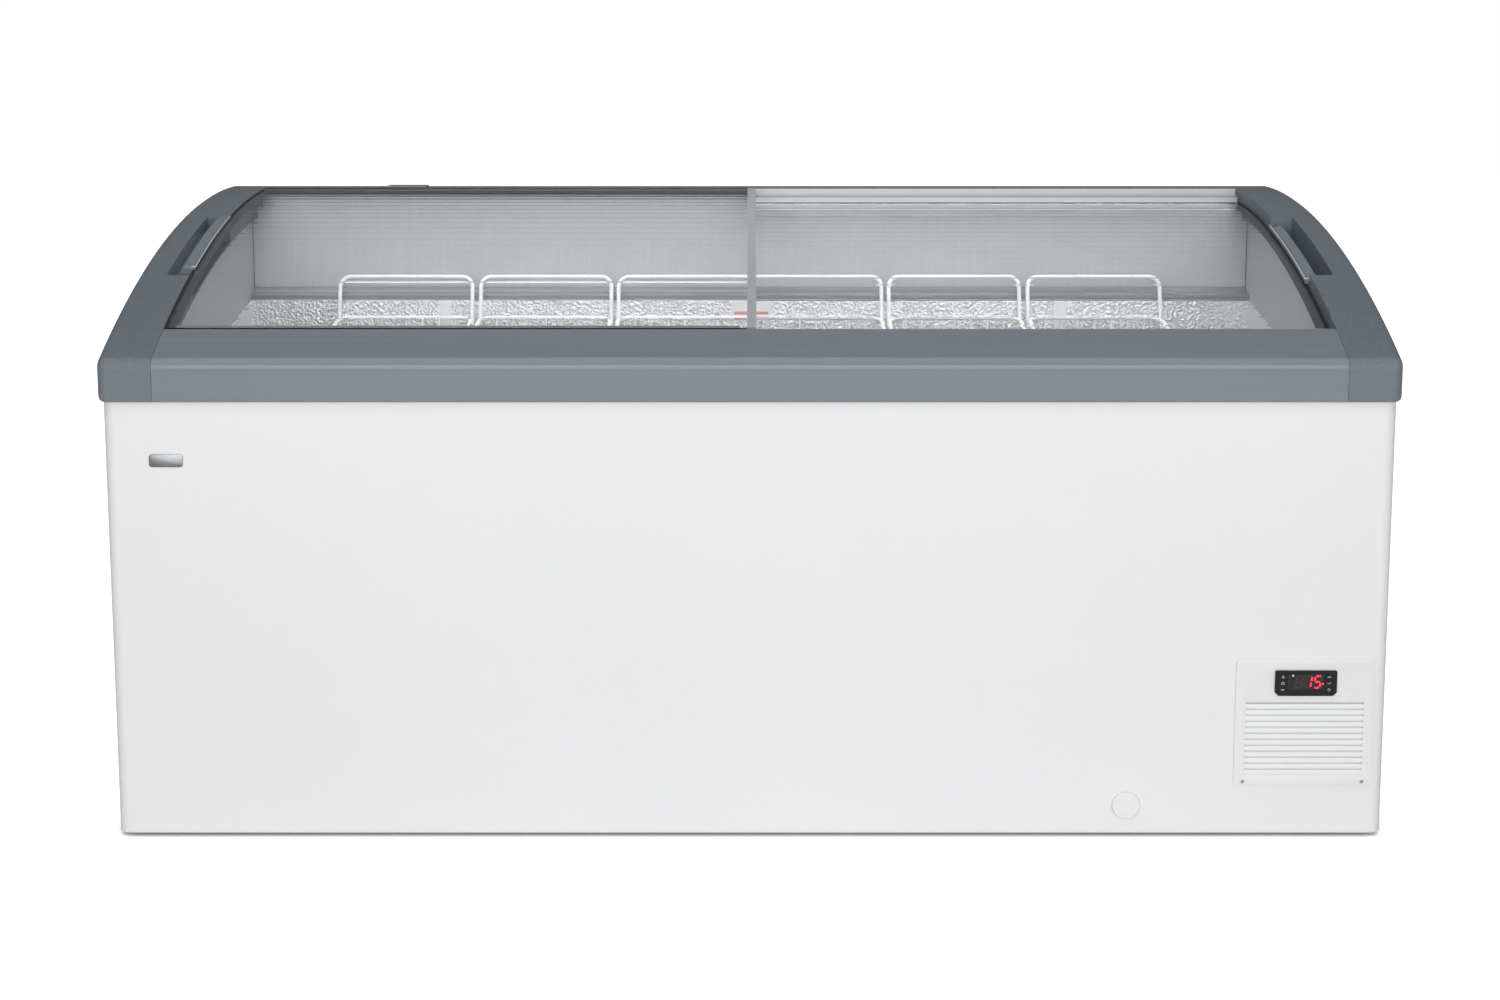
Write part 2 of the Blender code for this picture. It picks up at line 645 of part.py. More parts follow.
def make_tracks():
    upper = shoe_seat(FRAME_RADIUS)
    lower = shoe_seat(FRAME_RADIUS - LID_STEP)
    corners = [(TRACK_RADIUS, TRACK_OUTER_ANGLE), (upper, TRACK_OUTER_ANGLE), (upper, TRACK_STEP_ANGLE),
               (lower, TRACK_STEP_ANGLE), (lower, TRACK_INNER_ANGLE), (TRACK_RADIUS, TRACK_INNER_ANGLE)]
    front = [lid_point(radius, angle) for radius, angle in corners]
    prism("front_track", front, "YZ", -RAIL_HALF, RAIL_HALF, PROFILE)
    step, back = REAR_TRACK_Y
    outline = [(BACK_PANEL_FRONT, REAR_TRACK_BOTTOM), (back, REAR_TRACK_BOTTOM), (back, REAR_TRACK_HIGH),
               (step, REAR_TRACK_HIGH), (step, REAR_TRACK_LOW), (BACK_PANEL_FRONT, REAR_TRACK_LOW)]
    prism("rear_track", outline, "YZ", -RAIL_HALF, RAIL_HALF, GREY_PANEL)


def make_inner_panels():
    width = (-PANEL_HALF, PANEL_HALF)
    panel_y = (BACK_PANEL_FRONT, BACK_PANEL_FRONT + PANEL_SHEET)
    block("back_inner_panel", width, panel_y, (BACK_PANEL_BOTTOM, BACK_PANEL_TOP), GREY_PANEL)
    top = CAP_LIP_RADIUS - 0.001
    rear = BACK_PANEL_FRONT - 0.001
    outline = [(SIDE_PANEL_FRONT, SIDE_PANEL_BOTTOM), (rear, SIDE_PANEL_BOTTOM)]
    outline += lid_arc(top, lid_angle(top, rear), lid_angle(top, SIDE_PANEL_FRONT))
    prism("left_side_panel", outline, "YZ", -SIDE_PANEL_X[1], -SIDE_PANEL_X[0], GREY_PANEL)
    prism("right_side_panel", outline, "YZ", *SIDE_PANEL_X, GREY_PANEL)
    prism("rear_basket_ledge", REAR_LEDGE, "YZ", *width, GREY_PANEL)
    ledge_x = (-FRONT_LEDGE_HALF, FRONT_LEDGE_HALF)
    ledge_y = (LINER_FRONT + GAP, BASKET_FRONT - 0.004)
    block("front_basket_ledge", ledge_x, ledge_y, FRONT_LEDGE_Z, WHITE_PLASTIC)
    strip_y = (LINER_REAR - SHEET - GAP, LINER_REAR - GAP)
    for name, x in STRIP_X.items():
        block(name, x, strip_y, STRIP_Z, WHITE_PLASTIC)


# ---- lids ---------------------------------------------------------------------------------------
def make_lid(name, side, radius, angles, trim, rear_profile, grip):
    """One curved glass lid with its shoe, rear profile, handle, end seal and inner edge trim."""
    outer = side * LID_END
    parent = body(name, (outer, 0.0, ARC_CENTRE_Z + radius))
    seal = sorted((outer, outer - side * END_SEAL))
    glass = (trim[1] + GAP, seal[0] - GAP) if side > 0 else (seal[1] + GAP, trim[0] - GAP)
    low = radius - GLASS
    front, rear = angles
    prism(name + "_glass", lid_band(low, radius, front, rear), "YZ", *glass, LID_GLASS, parent)
    shoe = lid_band(low - SHOE, low - GAP, front, front - SHOE_ANGLE, 2)
    prism(name + "_front_shoe", shoe, "YZ", glass[0] + 0.01, glass[1] - 0.01, GREY_RAIL, parent)
    strip = lid_band(low - 0.001, radius + 0.001, front, rear)
    prism(name + "_end_seal", strip, "YZ", *seal, RUBBER, parent)
    strip = lid_band(low - 0.0012, radius + 0.002, front, rear)
    prism(name + "_edge_trim", strip, "YZ", *trim, PROFILE, parent)
    block(name + "_rear_profile", glass, *rear_profile, parent)
    make_handle(name + "_handle", side, radius, grip, parent)


def make_handle(name, side, radius, grip, parent):
    """The pull beyond the glass, with a pad that laps onto the glass."""
    outer = side * LID_END
    ends = (lid_angle(radius, HANDLE_FRONT), lid_angle(radius, HANDLE_REAR))
    grip_x = sorted((side * HANDLE_OUTER, outer + side * GAP))
    handle = prism(name, lid_band(*grip, *ends, 10), "YZ", *grip_x, GREY_RAIL, parent)
    pad = lid_band(radius + 0.001 + GAP, grip[1], *ends, 10)
    pad_x = sorted((side * HANDLE_INNER, outer + side * 0.002))
    join(handle, prism(name + "_pad", pad, "YZ", *pad_x, GREY_RAIL, parent))


def make_lids():
    radius = FRAME_RADIUS
    angles = (UPPER_FRONT_ANGLE, lid_angle(radius, UPPER_GLASS_REAR))
    profile = (UPPER_PROFILE_Y, (REAR_TRACK_HIGH + GAP, UPPER_PROFILE_TOP), BLACK_PLASTIC)
    make_lid("left_lid", -1, radius, angles, MULLION, profile, UPPER_HANDLE)
    radius = FRAME_RADIUS - LID_STEP
    angles = (LOWER_FRONT_ANGLE, lid_angle(radius, LOWER_GLASS_REAR))
    profile = (LOWER_PROFILE_Y, (REAR_TRACK_LOW + GAP, LOWER_PROFILE_TOP), PROFILE)
    make_lid("right_lid", 1, radius, angles, LOWER_TRIM, profile, LOWER_HANDLE)


# ---- baskets ------------------------------------------------------------------------------------
def basket_side(inset, rise):
    """Side outline of a basket, drawn in by the wall, with its rim raised for cutting."""
    floor = BASKET_FLOOR + inset
    drawn_in = BASKET_TAPER + inset
    return [(BASKET_FRONT + drawn_in, floor), (BASKET_REAR - drawn_in, floor),
            (BASKET_REAR - inset, BASKET_RIM_REAR + rise), (BASKET_FRONT + inset, BASKET_RIM_FRONT + rise)]


def loop_points(left, right):
    """The rear handle loop: up from the rim, round two corners and down, leaning back."""
    inset = BASKET_WALL / 2 + 0.001
    y = BASKET_REAR - BASKET_WALL / 2
    bottom = BASKET_RIM_REAR - 0.004
    top = BASKET_RIM_REAR + LOOP_RISE
    first = arc((left + inset + LOOP_CORNER, top - LOOP_CORNER), LOOP_CORNER, 180, 90, 5)
    second = arc((right - inset - LOOP_CORNER, top - LOOP_CORNER), LOOP_CORNER, 90, 0, 5)
    flat = [(left + inset, bottom)] + first + second + [(right - inset, bottom)]
    return [(x, y + LOOP_LEAN * (z - bottom) / (top - bottom), z) for x, z in flat]


def make_basket(name, left, right):
    parent = body(name, ((left + right) / 2, 0.0, BASKET_FLOOR))
    tub = prism(name, basket_side(0.0, 0.0), "YZ", left, right, WIRE, parent)
    inside = basket_side(BASKET_WALL, 0.1)
    cut(tub, prism(name + "_inside", inside, "YZ", left + BASKET_WALL, right - BASKET_WALL, WIRE))
    loop = add(name + "_loop", tube_mesh(name + "_loop", loop_points(left, right), LOOP_RADIUS), WIRE)
    join(tub, loop)


# ---- grille and controls ------------------------------------------------------------------------
def make_grille():
    panel = block("grille_panel", GRILLE_X, (GRILLE_FRONT, BODY_FRONT - GAP), GRILLE_Z, WHITE_PLASTIC)
    through = (GRILLE_FRONT - 0.01, GRILLE_FRONT + 0.02)
    for number in range(LOUVRES):
        z = LOUVRE_FIRST + LOUVRE_PITCH * number
        slot_z = (z - LOUVRE_GAP / 2, z + LOUVRE_GAP / 2)
        slot_y = (GRILLE_FRONT - 0.01, GRILLE_FRONT + 0.01)
        slot = block(f"cut_louvre_{number}", LOUVRE_X, slot_y, slot_z, WHITE_PLASTIC)
        slot.rotation_euler = (-math.radians(LOUVRE_TILT), 0.0, 0.0)
        cut(panel, slot)
    margin = BEZEL_MARGIN - GAP
    opening_x = (BEZEL_X[0] + margin, BEZEL_X[1] - margin)
    opening_z = (BEZEL_Z[0] + margin, BEZEL_Z[1] - margin)
    cut(panel, block("cut_controller", opening_x, through, opening_z, WHITE_PLASTIC))
    for place, x in zip(("left", "right"), SCREW_X):
        drill(panel, f"grille_screw_{place}", SCREW_HOLE, (x, GRILLE_FRONT, SCREW_Z))
        turned(f"grille_screw_{place}", SCREW_HEAD, (x, GRILLE_FRONT - GAP, SCREW_Z), GALVANISED,
               rotation=(math.pi / 2, 0.0, 0.0), steps=20)


def bezel_outline():
    """Front view of the bezel: cut lower corners and rounded upper ones."""
    (left, right), (low, high) = BEZEL_X, BEZEL_Z
    r = BEZEL_ROUND
    upper = arc((right - r, high - r), r, 0, 90, 3) + arc((left + r, high - r), r, 90, 180, 3)
    lower = [(left, low + BEZEL_CUT), (left + BEZEL_CUT, low)]
    lower += [(right - BEZEL_CUT, low), (right, low + BEZEL_CUT)]
    return upper + lower


def make_controller():
    back = GRILLE_FRONT - GAP
    housing = prism("controller_housing", bezel_outline(), "XZ", BEZEL_FRONT, back, BLACK_PLASTIC)
    body_x = (BEZEL_X[0] + BEZEL_MARGIN, BEZEL_X[1] - BEZEL_MARGIN)
    body_z = (BEZEL_Z[0] + BEZEL_MARGIN, BEZEL_Z[1] - BEZEL_MARGIN)
    join(housing, block("controller_body", body_x, (BEZEL_FRONT + 0.001, BEZEL_BACK), body_z, BLACK_PLASTIC))
    recess_x = (WINDOW_X[0] - GAP, WINDOW_X[1] + GAP)
    recess_y = (BEZEL_FRONT - 0.01, BEZEL_FRONT + WINDOW_DEPTH)
    recess_z = (WINDOW_Z[0] - GAP, WINDOW_Z[1] + GAP)
    cut(housing, block("cut_window", recess_x, recess_y, recess_z, BLACK_PLASTIC))
    block("display_window", WINDOW_X, (BEZEL_FRONT, BEZEL_FRONT + WINDOW_DEPTH - GAP), WINDOW_Z, WINDOW)
    for name, z in KEY_ZS.items():
        at = (KEY_X, BEZEL_FRONT, z)
        drill(housing, name, KEY_RADIUS + GAP, at, length=0.006)
        parent = body(name, at)
        centre = (KEY_X, BEZEL_FRONT + KEY_SUNK, z)
        cylinder(name, KEY_RADIUS, KEY_DEPTH, centre, BLACK_PLASTIC, parent, along="Y", segments=24)


def make_drain():
    """A tube from the liner floor to the front, and the plug cap that closes it."""
    bend = DRAIN_BEND
    route = [(DRAIN_X, DRAIN_Y, LINER_FLOOR - SHEET - GAP), (DRAIN_X, DRAIN_Y, DRAIN_Z + bend)]
    route += [(DRAIN_X, y, z) for y, z in arc((DRAIN_Y - bend, DRAIN_Z + bend), bend, 0, -90, 6)[1:]]
    route += [(DRAIN_X, BODY_FRONT + GAP, DRAIN_Z)]
    made = curve_object("drain_tube", route, cyclic=False)
    made.data.dimensions = "3D"
    made.data.bevel_depth = DRAIN_TUBE - GAP
    made.data.bevel_resolution = 3
    pipe = add("drain_tube", curve_to_mesh(made, "drain_tube"), WHITE_PLASTIC)
    wall = pipe.modifiers.new("wall", "SOLIDIFY")
    wall.thickness = DRAIN_WALL
    wall.offset = -1.0
    plug = DRAIN_TUBE - DRAIN_WALL - 0.001
    profile = [(0.0, 0.0050), (DRAIN_CAP - 0.002, 0.0050), (DRAIN_CAP - 0.0005, 0.0040), (DRAIN_CAP, 0.0020),
               (DRAIN_CAP, GAP), (plug, GAP), (plug - 0.001, -PLUG_LENGTH), (0.0, -PLUG_LENGTH)]
    at = (DRAIN_X, BODY_FRONT, DRAIN_Z)
    turned("drain_cap", profile, at, WHITE_PLASTIC, body("drain_cap", at), (math.pi / 2, 0.0, 0.0), 40)


# ---- cooling unit -------------------------------------------------------------------------------
def make_compressor():
    block("compressor_tray", TRAY_X, TRAY_Y, (BASE_TOP, BASE_TOP + SHEET), GALVANISED)
    turned("compressor", COMPRESSOR_PROFILE, COMPRESSOR, BLACK_PAINT, steps=32)
    cylinder("filter_drier", DRIER_RADIUS, DRIER_LENGTH, DRIER, COPPER, along="Z", segments=20)


def make_condenser():
    """A finned block, drawn in plan as a comb and extruded upwards."""
    tips, roots, back = CONDENSER_Y
    outline = [(CONDENSER_LEFT, back)]
    for number in range(FINS):
        left = CONDENSER_LEFT + FIN_PITCH * number
        right = left + FIN_WIDTH
        outline += [(left, tips), (right, tips)]
        if number < FINS - 1:
            outline += [(right, roots), (left + FIN_PITCH, roots)]
    outline.append((CONDENSER_LEFT + FIN_PITCH * (FINS - 1) + FIN_WIDTH, back))
    prism("condenser", outline, "XY", UNIT_BOTTOM, CONDENSER_TOP, GALVANISED)


def fan_blade(number):
    """One flat blade, tilted about its own length and turned to its place round the hub."""
    turn = Matrix.Rotation(2 * math.pi * number / FAN_BLADES, 4, "Y")
    reach = Matrix.Translation((0.0, 0.0, (0.010 + FAN_RADIUS) / 2))
    pitch = Matrix.Rotation(math.radians(BLADE_PITCH), 4, "Z")
    size = Matrix.Diagonal((0.040, 0.002, FAN_RADIUS - 0.010, 1.0))
    form = bmesh.new()
    bmesh.ops.create_cube(form, size=1.0, matrix=turn @ reach @ pitch @ size)
    mesh = bpy.data.meshes.new(f"fan_blade_{number}")
    form.to_mesh(mesh)
    form.free()
    return add(f"fan_blade_{number}", mesh, BLACK_PLASTIC, None, FAN_CENTRE)


def make_fan():
    x, y, z = FAN_CENTRE
    shroud_x = (x - SHROUD_HALF, x + SHROUD_HALF)
    shroud = block("fan_shroud", shroud_x, SHROUD_Y, (UNIT_BOTTOM, SHROUD_TOP), BLACK_PAINT)
    opening = (x, SHROUD_Y[0], z)
    ring = cylinder("cut_shroud", FAN_RADIUS + 0.006, 0.03, opening, BLACK_PAINT, along="Y", segments=40)
    cut(shroud, ring)
    cylinder("fan_motor", 0.030, 0.050, (x, y + 0.046, z), GALVANISED, along="Y")
    parent = body("fan", FAN_CENTRE)
    hub = cylinder("fan_blades", FAN_HUB, 0.030, FAN_CENTRE, BLACK_PLASTIC, parent, along="Y", segments=24)
    for number in range(FAN_BLADES):
        join(hub, fan_blade(number))


def make_cord_gland(rear_panel):
    """The bushing in the rear panel that the supply lead passes through."""
    x, z = GLAND
    rear = BODY_REAR - SHEET - GAP
    drill(rear_panel, "gland", 0.0082, (x, rear, z))
    profile = [(0.0045, 0.0045), (0.0110, 0.0045), (0.0120, 0.0035), (0.0120, GAP), (0.0079, GAP),
               (0.0079, -0.0025), (0.0045, -0.0025), (0.0045, 0.0045)]
    turned("cord_gland", profile, (x, rear, z), RUBBER, rotation=(-math.pi / 2, 0.0, 0.0), steps=28)


# ---- build --------------------------------------------------------------------------------------
make_outer_shell()
make_cord_gland(make_rear_panel())
make_base()
make_inner_liner()
make_insulation()
make_evaporator_coil()
make_front_rail()
make_rear_rail()
make_end_cap("left_end_cap", -1)
make_end_cap("right_end_cap", 1)
make_tracks()
make_inner_panels()
make_lids()
for basket_name, (basket_left, basket_right) in BASKET_SPANS.items():
    make_basket(basket_name, basket_left, basket_right)
make_grille()
make_controller()
make_drain()
make_compressor()
make_condenser()
make_fan()
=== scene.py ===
"""Looks of the shop chest freezer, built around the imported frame."""
import json
import math

import bmesh
import bpy
from mathutils import Matrix, Vector


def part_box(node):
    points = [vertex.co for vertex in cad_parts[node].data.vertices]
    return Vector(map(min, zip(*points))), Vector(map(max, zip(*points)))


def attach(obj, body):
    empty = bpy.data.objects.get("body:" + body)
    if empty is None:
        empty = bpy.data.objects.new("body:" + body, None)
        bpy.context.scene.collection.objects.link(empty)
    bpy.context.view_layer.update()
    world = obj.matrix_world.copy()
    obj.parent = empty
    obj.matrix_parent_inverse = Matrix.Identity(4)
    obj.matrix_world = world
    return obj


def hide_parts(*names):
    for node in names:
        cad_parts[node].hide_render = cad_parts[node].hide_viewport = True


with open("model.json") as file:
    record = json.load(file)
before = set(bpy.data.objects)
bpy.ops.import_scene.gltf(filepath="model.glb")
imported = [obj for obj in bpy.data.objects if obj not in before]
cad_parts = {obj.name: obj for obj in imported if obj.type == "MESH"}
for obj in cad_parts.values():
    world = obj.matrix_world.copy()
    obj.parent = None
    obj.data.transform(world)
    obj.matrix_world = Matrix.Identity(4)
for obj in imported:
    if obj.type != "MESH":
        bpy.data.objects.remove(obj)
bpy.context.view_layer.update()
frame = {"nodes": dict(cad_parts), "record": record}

# ---- dimensions shared with the frame -----------------------------------------------------------
ARC_Y = 0.350                   # axis of the lid arcs
ARC_Z = -0.506
LID_RADIUS = {"left_lid": 1.380, "right_lid": 1.360}
LID_SIDE = {"left_lid": -1, "right_lid": 1}
GLASS = 0.005
LIFT = 0.0003                   # clearance between pieces that touch

CAMERA_PLACE = (0.0, -2.925, 1.110)
CAMERA_PITCH = 6.806            # degrees below the horizon
CAMERA_LENS = 45.6
CAMERA_SHIFT = -0.15            # more of it would push the freezer out of the turned views

FLOOR_HALF = 14.0
FLOOR_GLOW = 1.0                # what the camera sees on top of the floor's own shading
WHITE = (1.0, 1.0, 1.0)
# this fade of the floor's glow is a painted contact shadow
PAINTED_SHADOW_REACH = 0.050           # the floor's glow fades this close to what stands on it
SOFT_DIRECTION = (0.0, -0.98, 0.20)
SOFT_DIM = 0.12
SOFT_BRIGHT = 0.85


# ---- node materials -----------------------------------------------------------------------------
class Nodes:
    """Builds one material's node tree around its Principled shader."""

    def __init__(self, name):
        self.material = bpy.data.materials.new(name)
        self.material.use_nodes = True
        self.tree = self.material.node_tree
        self.shader = self.tree.nodes["Principled BSDF"]
        self.output = self.tree.nodes["Material Output"]
        self.place = self.tree.nodes.new("ShaderNodeTexCoord").outputs["Object"]

    def node(self, kind, **inputs):
        made = self.tree.nodes.new(kind)
        for key, value in inputs.items():
            self.feed(made.inputs[key.replace("_", " ")], value)
        return made

    def feed(self, socket, value):
        if isinstance(value, bpy.types.NodeSocket):
            self.tree.links.new(value, socket)
        else:
            socket.default_value = value

    def set(self, **inputs):
        for key, value in inputs.items():
            self.feed(self.shader.inputs[key.replace("_", " ")], value)

    def stretched(self, scale):
        """The object coordinates with a scale along each axis."""
        return self.node("ShaderNodeMapping", Vector=self.place, Scale=scale).outputs["Vector"]

    def noise(self, scale, detail=3.0, stretch=None):
        vector = self.stretched(stretch) if stretch else self.place
        return self.node("ShaderNodeTexNoise", Vector=vector, Scale=scale, Detail=detail).outputs["Fac"]

    def cells(self, scale, feature="F1", stretch=None):
        vector = self.stretched(stretch) if stretch else self.place
        made = self.node("ShaderNodeTexVoronoi", Vector=vector, Scale=scale)
        made.feature = feature
        return made.outputs["Distance"]

    def product(self, first, second):
        made = self.tree.nodes.new("ShaderNodeMath")
        made.operation = "MULTIPLY"
        self.feed(made.inputs[0], first)
        self.feed(made.inputs[1], second)
        return made.outputs[0]

    def spread(self, value, low, high):
        """A 0..1 value remapped to run from low to high."""
        made = self.node("ShaderNodeMapRange", Value=value)
        made.inputs["To Min"].default_value = low
        made.inputs["To Max"].default_value = high
        return made.outputs["Result"]

    def tint(self, value, dark, light, start=0.3, end=0.7):
        """A colour between two, driven by a 0..1 value."""
        made = self.node("ShaderNodeValToRGB", Fac=value)
        first, last = made.color_ramp.elements
        first.position = start
        last.position = end
        first.color = (*dark, 1.0)
        last.color = (*light, 1.0)
        return made.outputs["Color"]

    def bump(self, height, depth, strength=1.0, below=None):
        made = self.node("ShaderNodeBump", Height=height, Distance=depth, Strength=strength)
        if below is not None:
            self.feed(made.inputs["Normal"], below)
        return made.outputs["Normal"]


def shade(colour, factor):
    return tuple(channel * factor for channel in colour)


def white_steel():
    """Coated sheet: a satin gloss over a very fine orange peel."""
    make = Nodes("white_coated_steel")
    colour = (0.82, 0.825, 0.833)
    make.set(Base_Color=make.tint(make.noise(2.2, 4.0), shade(colour, 0.985), colour))
    make.set(Roughness=make.spread(make.noise(14.0, 2.0), 0.27, 0.36))
    peel = make.bump(make.noise(420.0, 2.0), 0.00012, 0.35)
    make.set(Normal=make.bump(make.noise(3.0, 1.0), 0.0012, 0.10, below=peel))
    make.set(Coat_Weight=0.25, Coat_Roughness=0.18)
    return make.material


def moulded_plastic(name, colour, roughness, grain, depth, speckle=0.04):
    """Injection moulded plastic with a spark-eroded grain."""
    make = Nodes(name)
    flecks = make.noise(grain * 0.7, 2.0)
    make.set(Base_Color=make.tint(flecks, shade(colour, 1 - speckle), shade(colour, 1 + speckle)))
    make.set(Roughness=make.spread(make.noise(grain * 0.15, 2.0), roughness - 0.05, roughness + 0.05))
    make.set(Normal=make.bump(make.cells(grain), depth, 0.6))
    return make.material


def frame_plastic():
    """Extruded rail: satin, with faint draw lines along its length."""
    make = Nodes("frame_rail_plastic")
    colour = (0.190, 0.217, 0.243)
    lines = make.noise(90.0, 3.0, stretch=(0.01, 1.0, 1.0))
    make.set(Base_Color=make.tint(lines, shade(colour, 0.965), shade(colour, 1.035)))
    make.set(Roughness=make.spread(make.noise(60.0, 2.0, stretch=(0.05, 1.0, 1.0)), 0.22, 0.29))
    fine = make.bump(make.noise(900.0, 2.0, stretch=(0.02, 1.0, 1.0)), 0.00008, 0.4)
    make.set(Normal=make.bump(make.noise(500.0, 2.0), 0.00006, 0.3, below=fine))
    make.set(Specular_IOR_Level=0.55)
    return make.material


def cap_plastic():
    """End caps: darker, matt, with a coarse leathery grain and pale flecks."""
    make = Nodes("end_cap_plastic")
    colour = (0.146, 0.171, 0.194)
    flecks = make.noise(700.0, 3.0)
    make.set(Base_Color=make.tint(flecks, shade(colour, 0.78), shade(colour, 1.22), 0.35, 0.65))
    make.set(Roughness=make.spread(make.noise(80.0, 2.0), 0.40, 0.52))
    coarse = make.bump(make.cells(620.0), 0.00030, 0.55)
    make.set(Normal=make.bump(make.noise(1400.0, 2.0), 0.00012, 0.5, below=coarse))
    return make.material


def stucco_aluminium():
    """Embossed liner sheet: bright metal with a worm-like raised pattern about 4 mm across."""
    make = Nodes("stucco_aluminium")
    warp = make.node("ShaderNodeTexNoise", Vector=make.place, Scale=120.0, Detail=2.0)
    moved = make.node("ShaderNodeVectorMath", Vector=make.place)
    moved.operation = "MULTIPLY_ADD"
    make.feed(moved.inputs[0], warp.outputs["Color"])
    moved.inputs[1].default_value = (0.006, 0.006, 0.006)
    make.feed(moved.inputs[2], make.place)
    worms = make.node("ShaderNodeTexVoronoi", Vector=moved.outputs[0], Scale=230.0)
    worms.feature = "SMOOTH_F1"
    worms.inputs["Smoothness"].default_value = 0.5
    height = worms.outputs["Distance"]
    # painted shade: the colour darkens in step with the bump, so the hollows between the raised worms are
    # painted darker
    make.set(Base_Color=make.tint(height, (0.84, 0.85, 0.86), (0.95, 0.955, 0.96), 0.1, 0.6))
    make.set(Metallic=0.85, Roughness=make.spread(make.noise(40.0), 0.30, 0.40))
    make.set(Normal=make.bump(height, 0.0024, 1.0))
    return make.material


def drawn_metal(name, colour, roughness, along="X", metallic=1.0):
    """Extruded or rolled metal with fine lines along one axis."""
    make = Nodes(name)
    stretch = {"X": (0.01, 1.0, 1.0), "Z": (1.0, 1.0, 0.01)}[along]
    lines = make.noise(700.0, 3.0, stretch=stretch)
    make.set(Base_Color=make.tint(lines, shade(colour, 0.90), colour), Metallic=metallic)
    make.set(Roughness=make.spread(lines, roughness - 0.06, roughness + 0.08))
    make.set(Normal=make.bump(lines, 0.00008, 0.6))
    return make.material


def galvanised_steel():
    """Zinc-coated sheet with its large flat crystals."""
    make = Nodes("galvanised_steel")
    spangle = make.node("ShaderNodeTexVoronoi", Vector=make.place, Scale=60.0)
    grey = make.node("ShaderNodeSeparateColor", Color=spangle.outputs["Color"]).outputs[0]
    make.set(Base_Color=make.tint(grey, (0.42, 0.44, 0.46), (0.60, 0.62, 0.64), 0.0, 1.0), Metallic=0.9)
    make.set(Roughness=make.spread(grey, 0.34, 0.52))
    make.set(Normal=make.bump(make.noise(300.0), 0.0001, 0.5))
    return make.material


def panel_plastic(name, colour):
    """Inner panels: smooth pale grey sheet with a faint vertical brushing."""
    make = Nodes(name)
    brushed = make.noise(380.0, 3.0, stretch=(1.0, 1.0, 0.03))
    make.set(Base_Color=make.tint(brushed, shade(colour, 0.96), shade(colour, 1.04)))
    make.set(Roughness=make.spread(brushed, 0.36, 0.46))
    make.set(Normal=make.bump(brushed, 0.00006, 0.4))
    return make.material


def wire_coating():
    """Dipped plastic coat on wire: glossy, slightly uneven."""
    make = Nodes("wire_coating")
    make.set(Base_Color=make.tint(make.noise(60.0), (0.90, 0.905, 0.91), (0.94, 0.945, 0.95)))
    make.set(Roughness=make.spread(make.noise(90.0), 0.22, 0.34))
    make.set(Normal=make.bump(make.noise(350.0), 0.00015, 0.3), Coat_Weight=0.3, Coat_Roughness=0.12)
    return make.material


def lid_glass():
    """Clear tempered glass that lets lamps through to what is under it."""
    make = Nodes("lid_glass")
    make.set(Base_Color=(0.990, 0.995, 0.995, 1.0), Transmission_Weight=1.0, IOR=1.45)
    make.set(Roughness=make.spread(make.noise(3.0), 0.0, 0.012))
    clear = make.node("ShaderNodeBsdfTransparent", Color=(0.975, 0.985, 0.985, 1.0))
    path = make.tree.nodes.new("ShaderNodeLightPath")
    mix = make.tree.nodes.new("ShaderNodeMixShader")
    make.feed(mix.inputs[0], path.outputs["Is Shadow Ray"])
    make.feed(mix.inputs[1], make.shader.outputs[0])
    make.feed(mix.inputs[2], clear.outputs[0])
    make.feed(make.output.inputs["Surface"], mix.outputs[0])
    return make.material


def lit(name, colour, strength, dim):
    """A lit display element with a soft uneven glow."""
    make = Nodes(name)
    glow = make.tint(make.noise(900.0), shade(colour, dim), colour)
    make.set(Base_Color=glow, Emission_Color=glow, Emission_Strength=strength, Roughness=0.35)
    return make.material


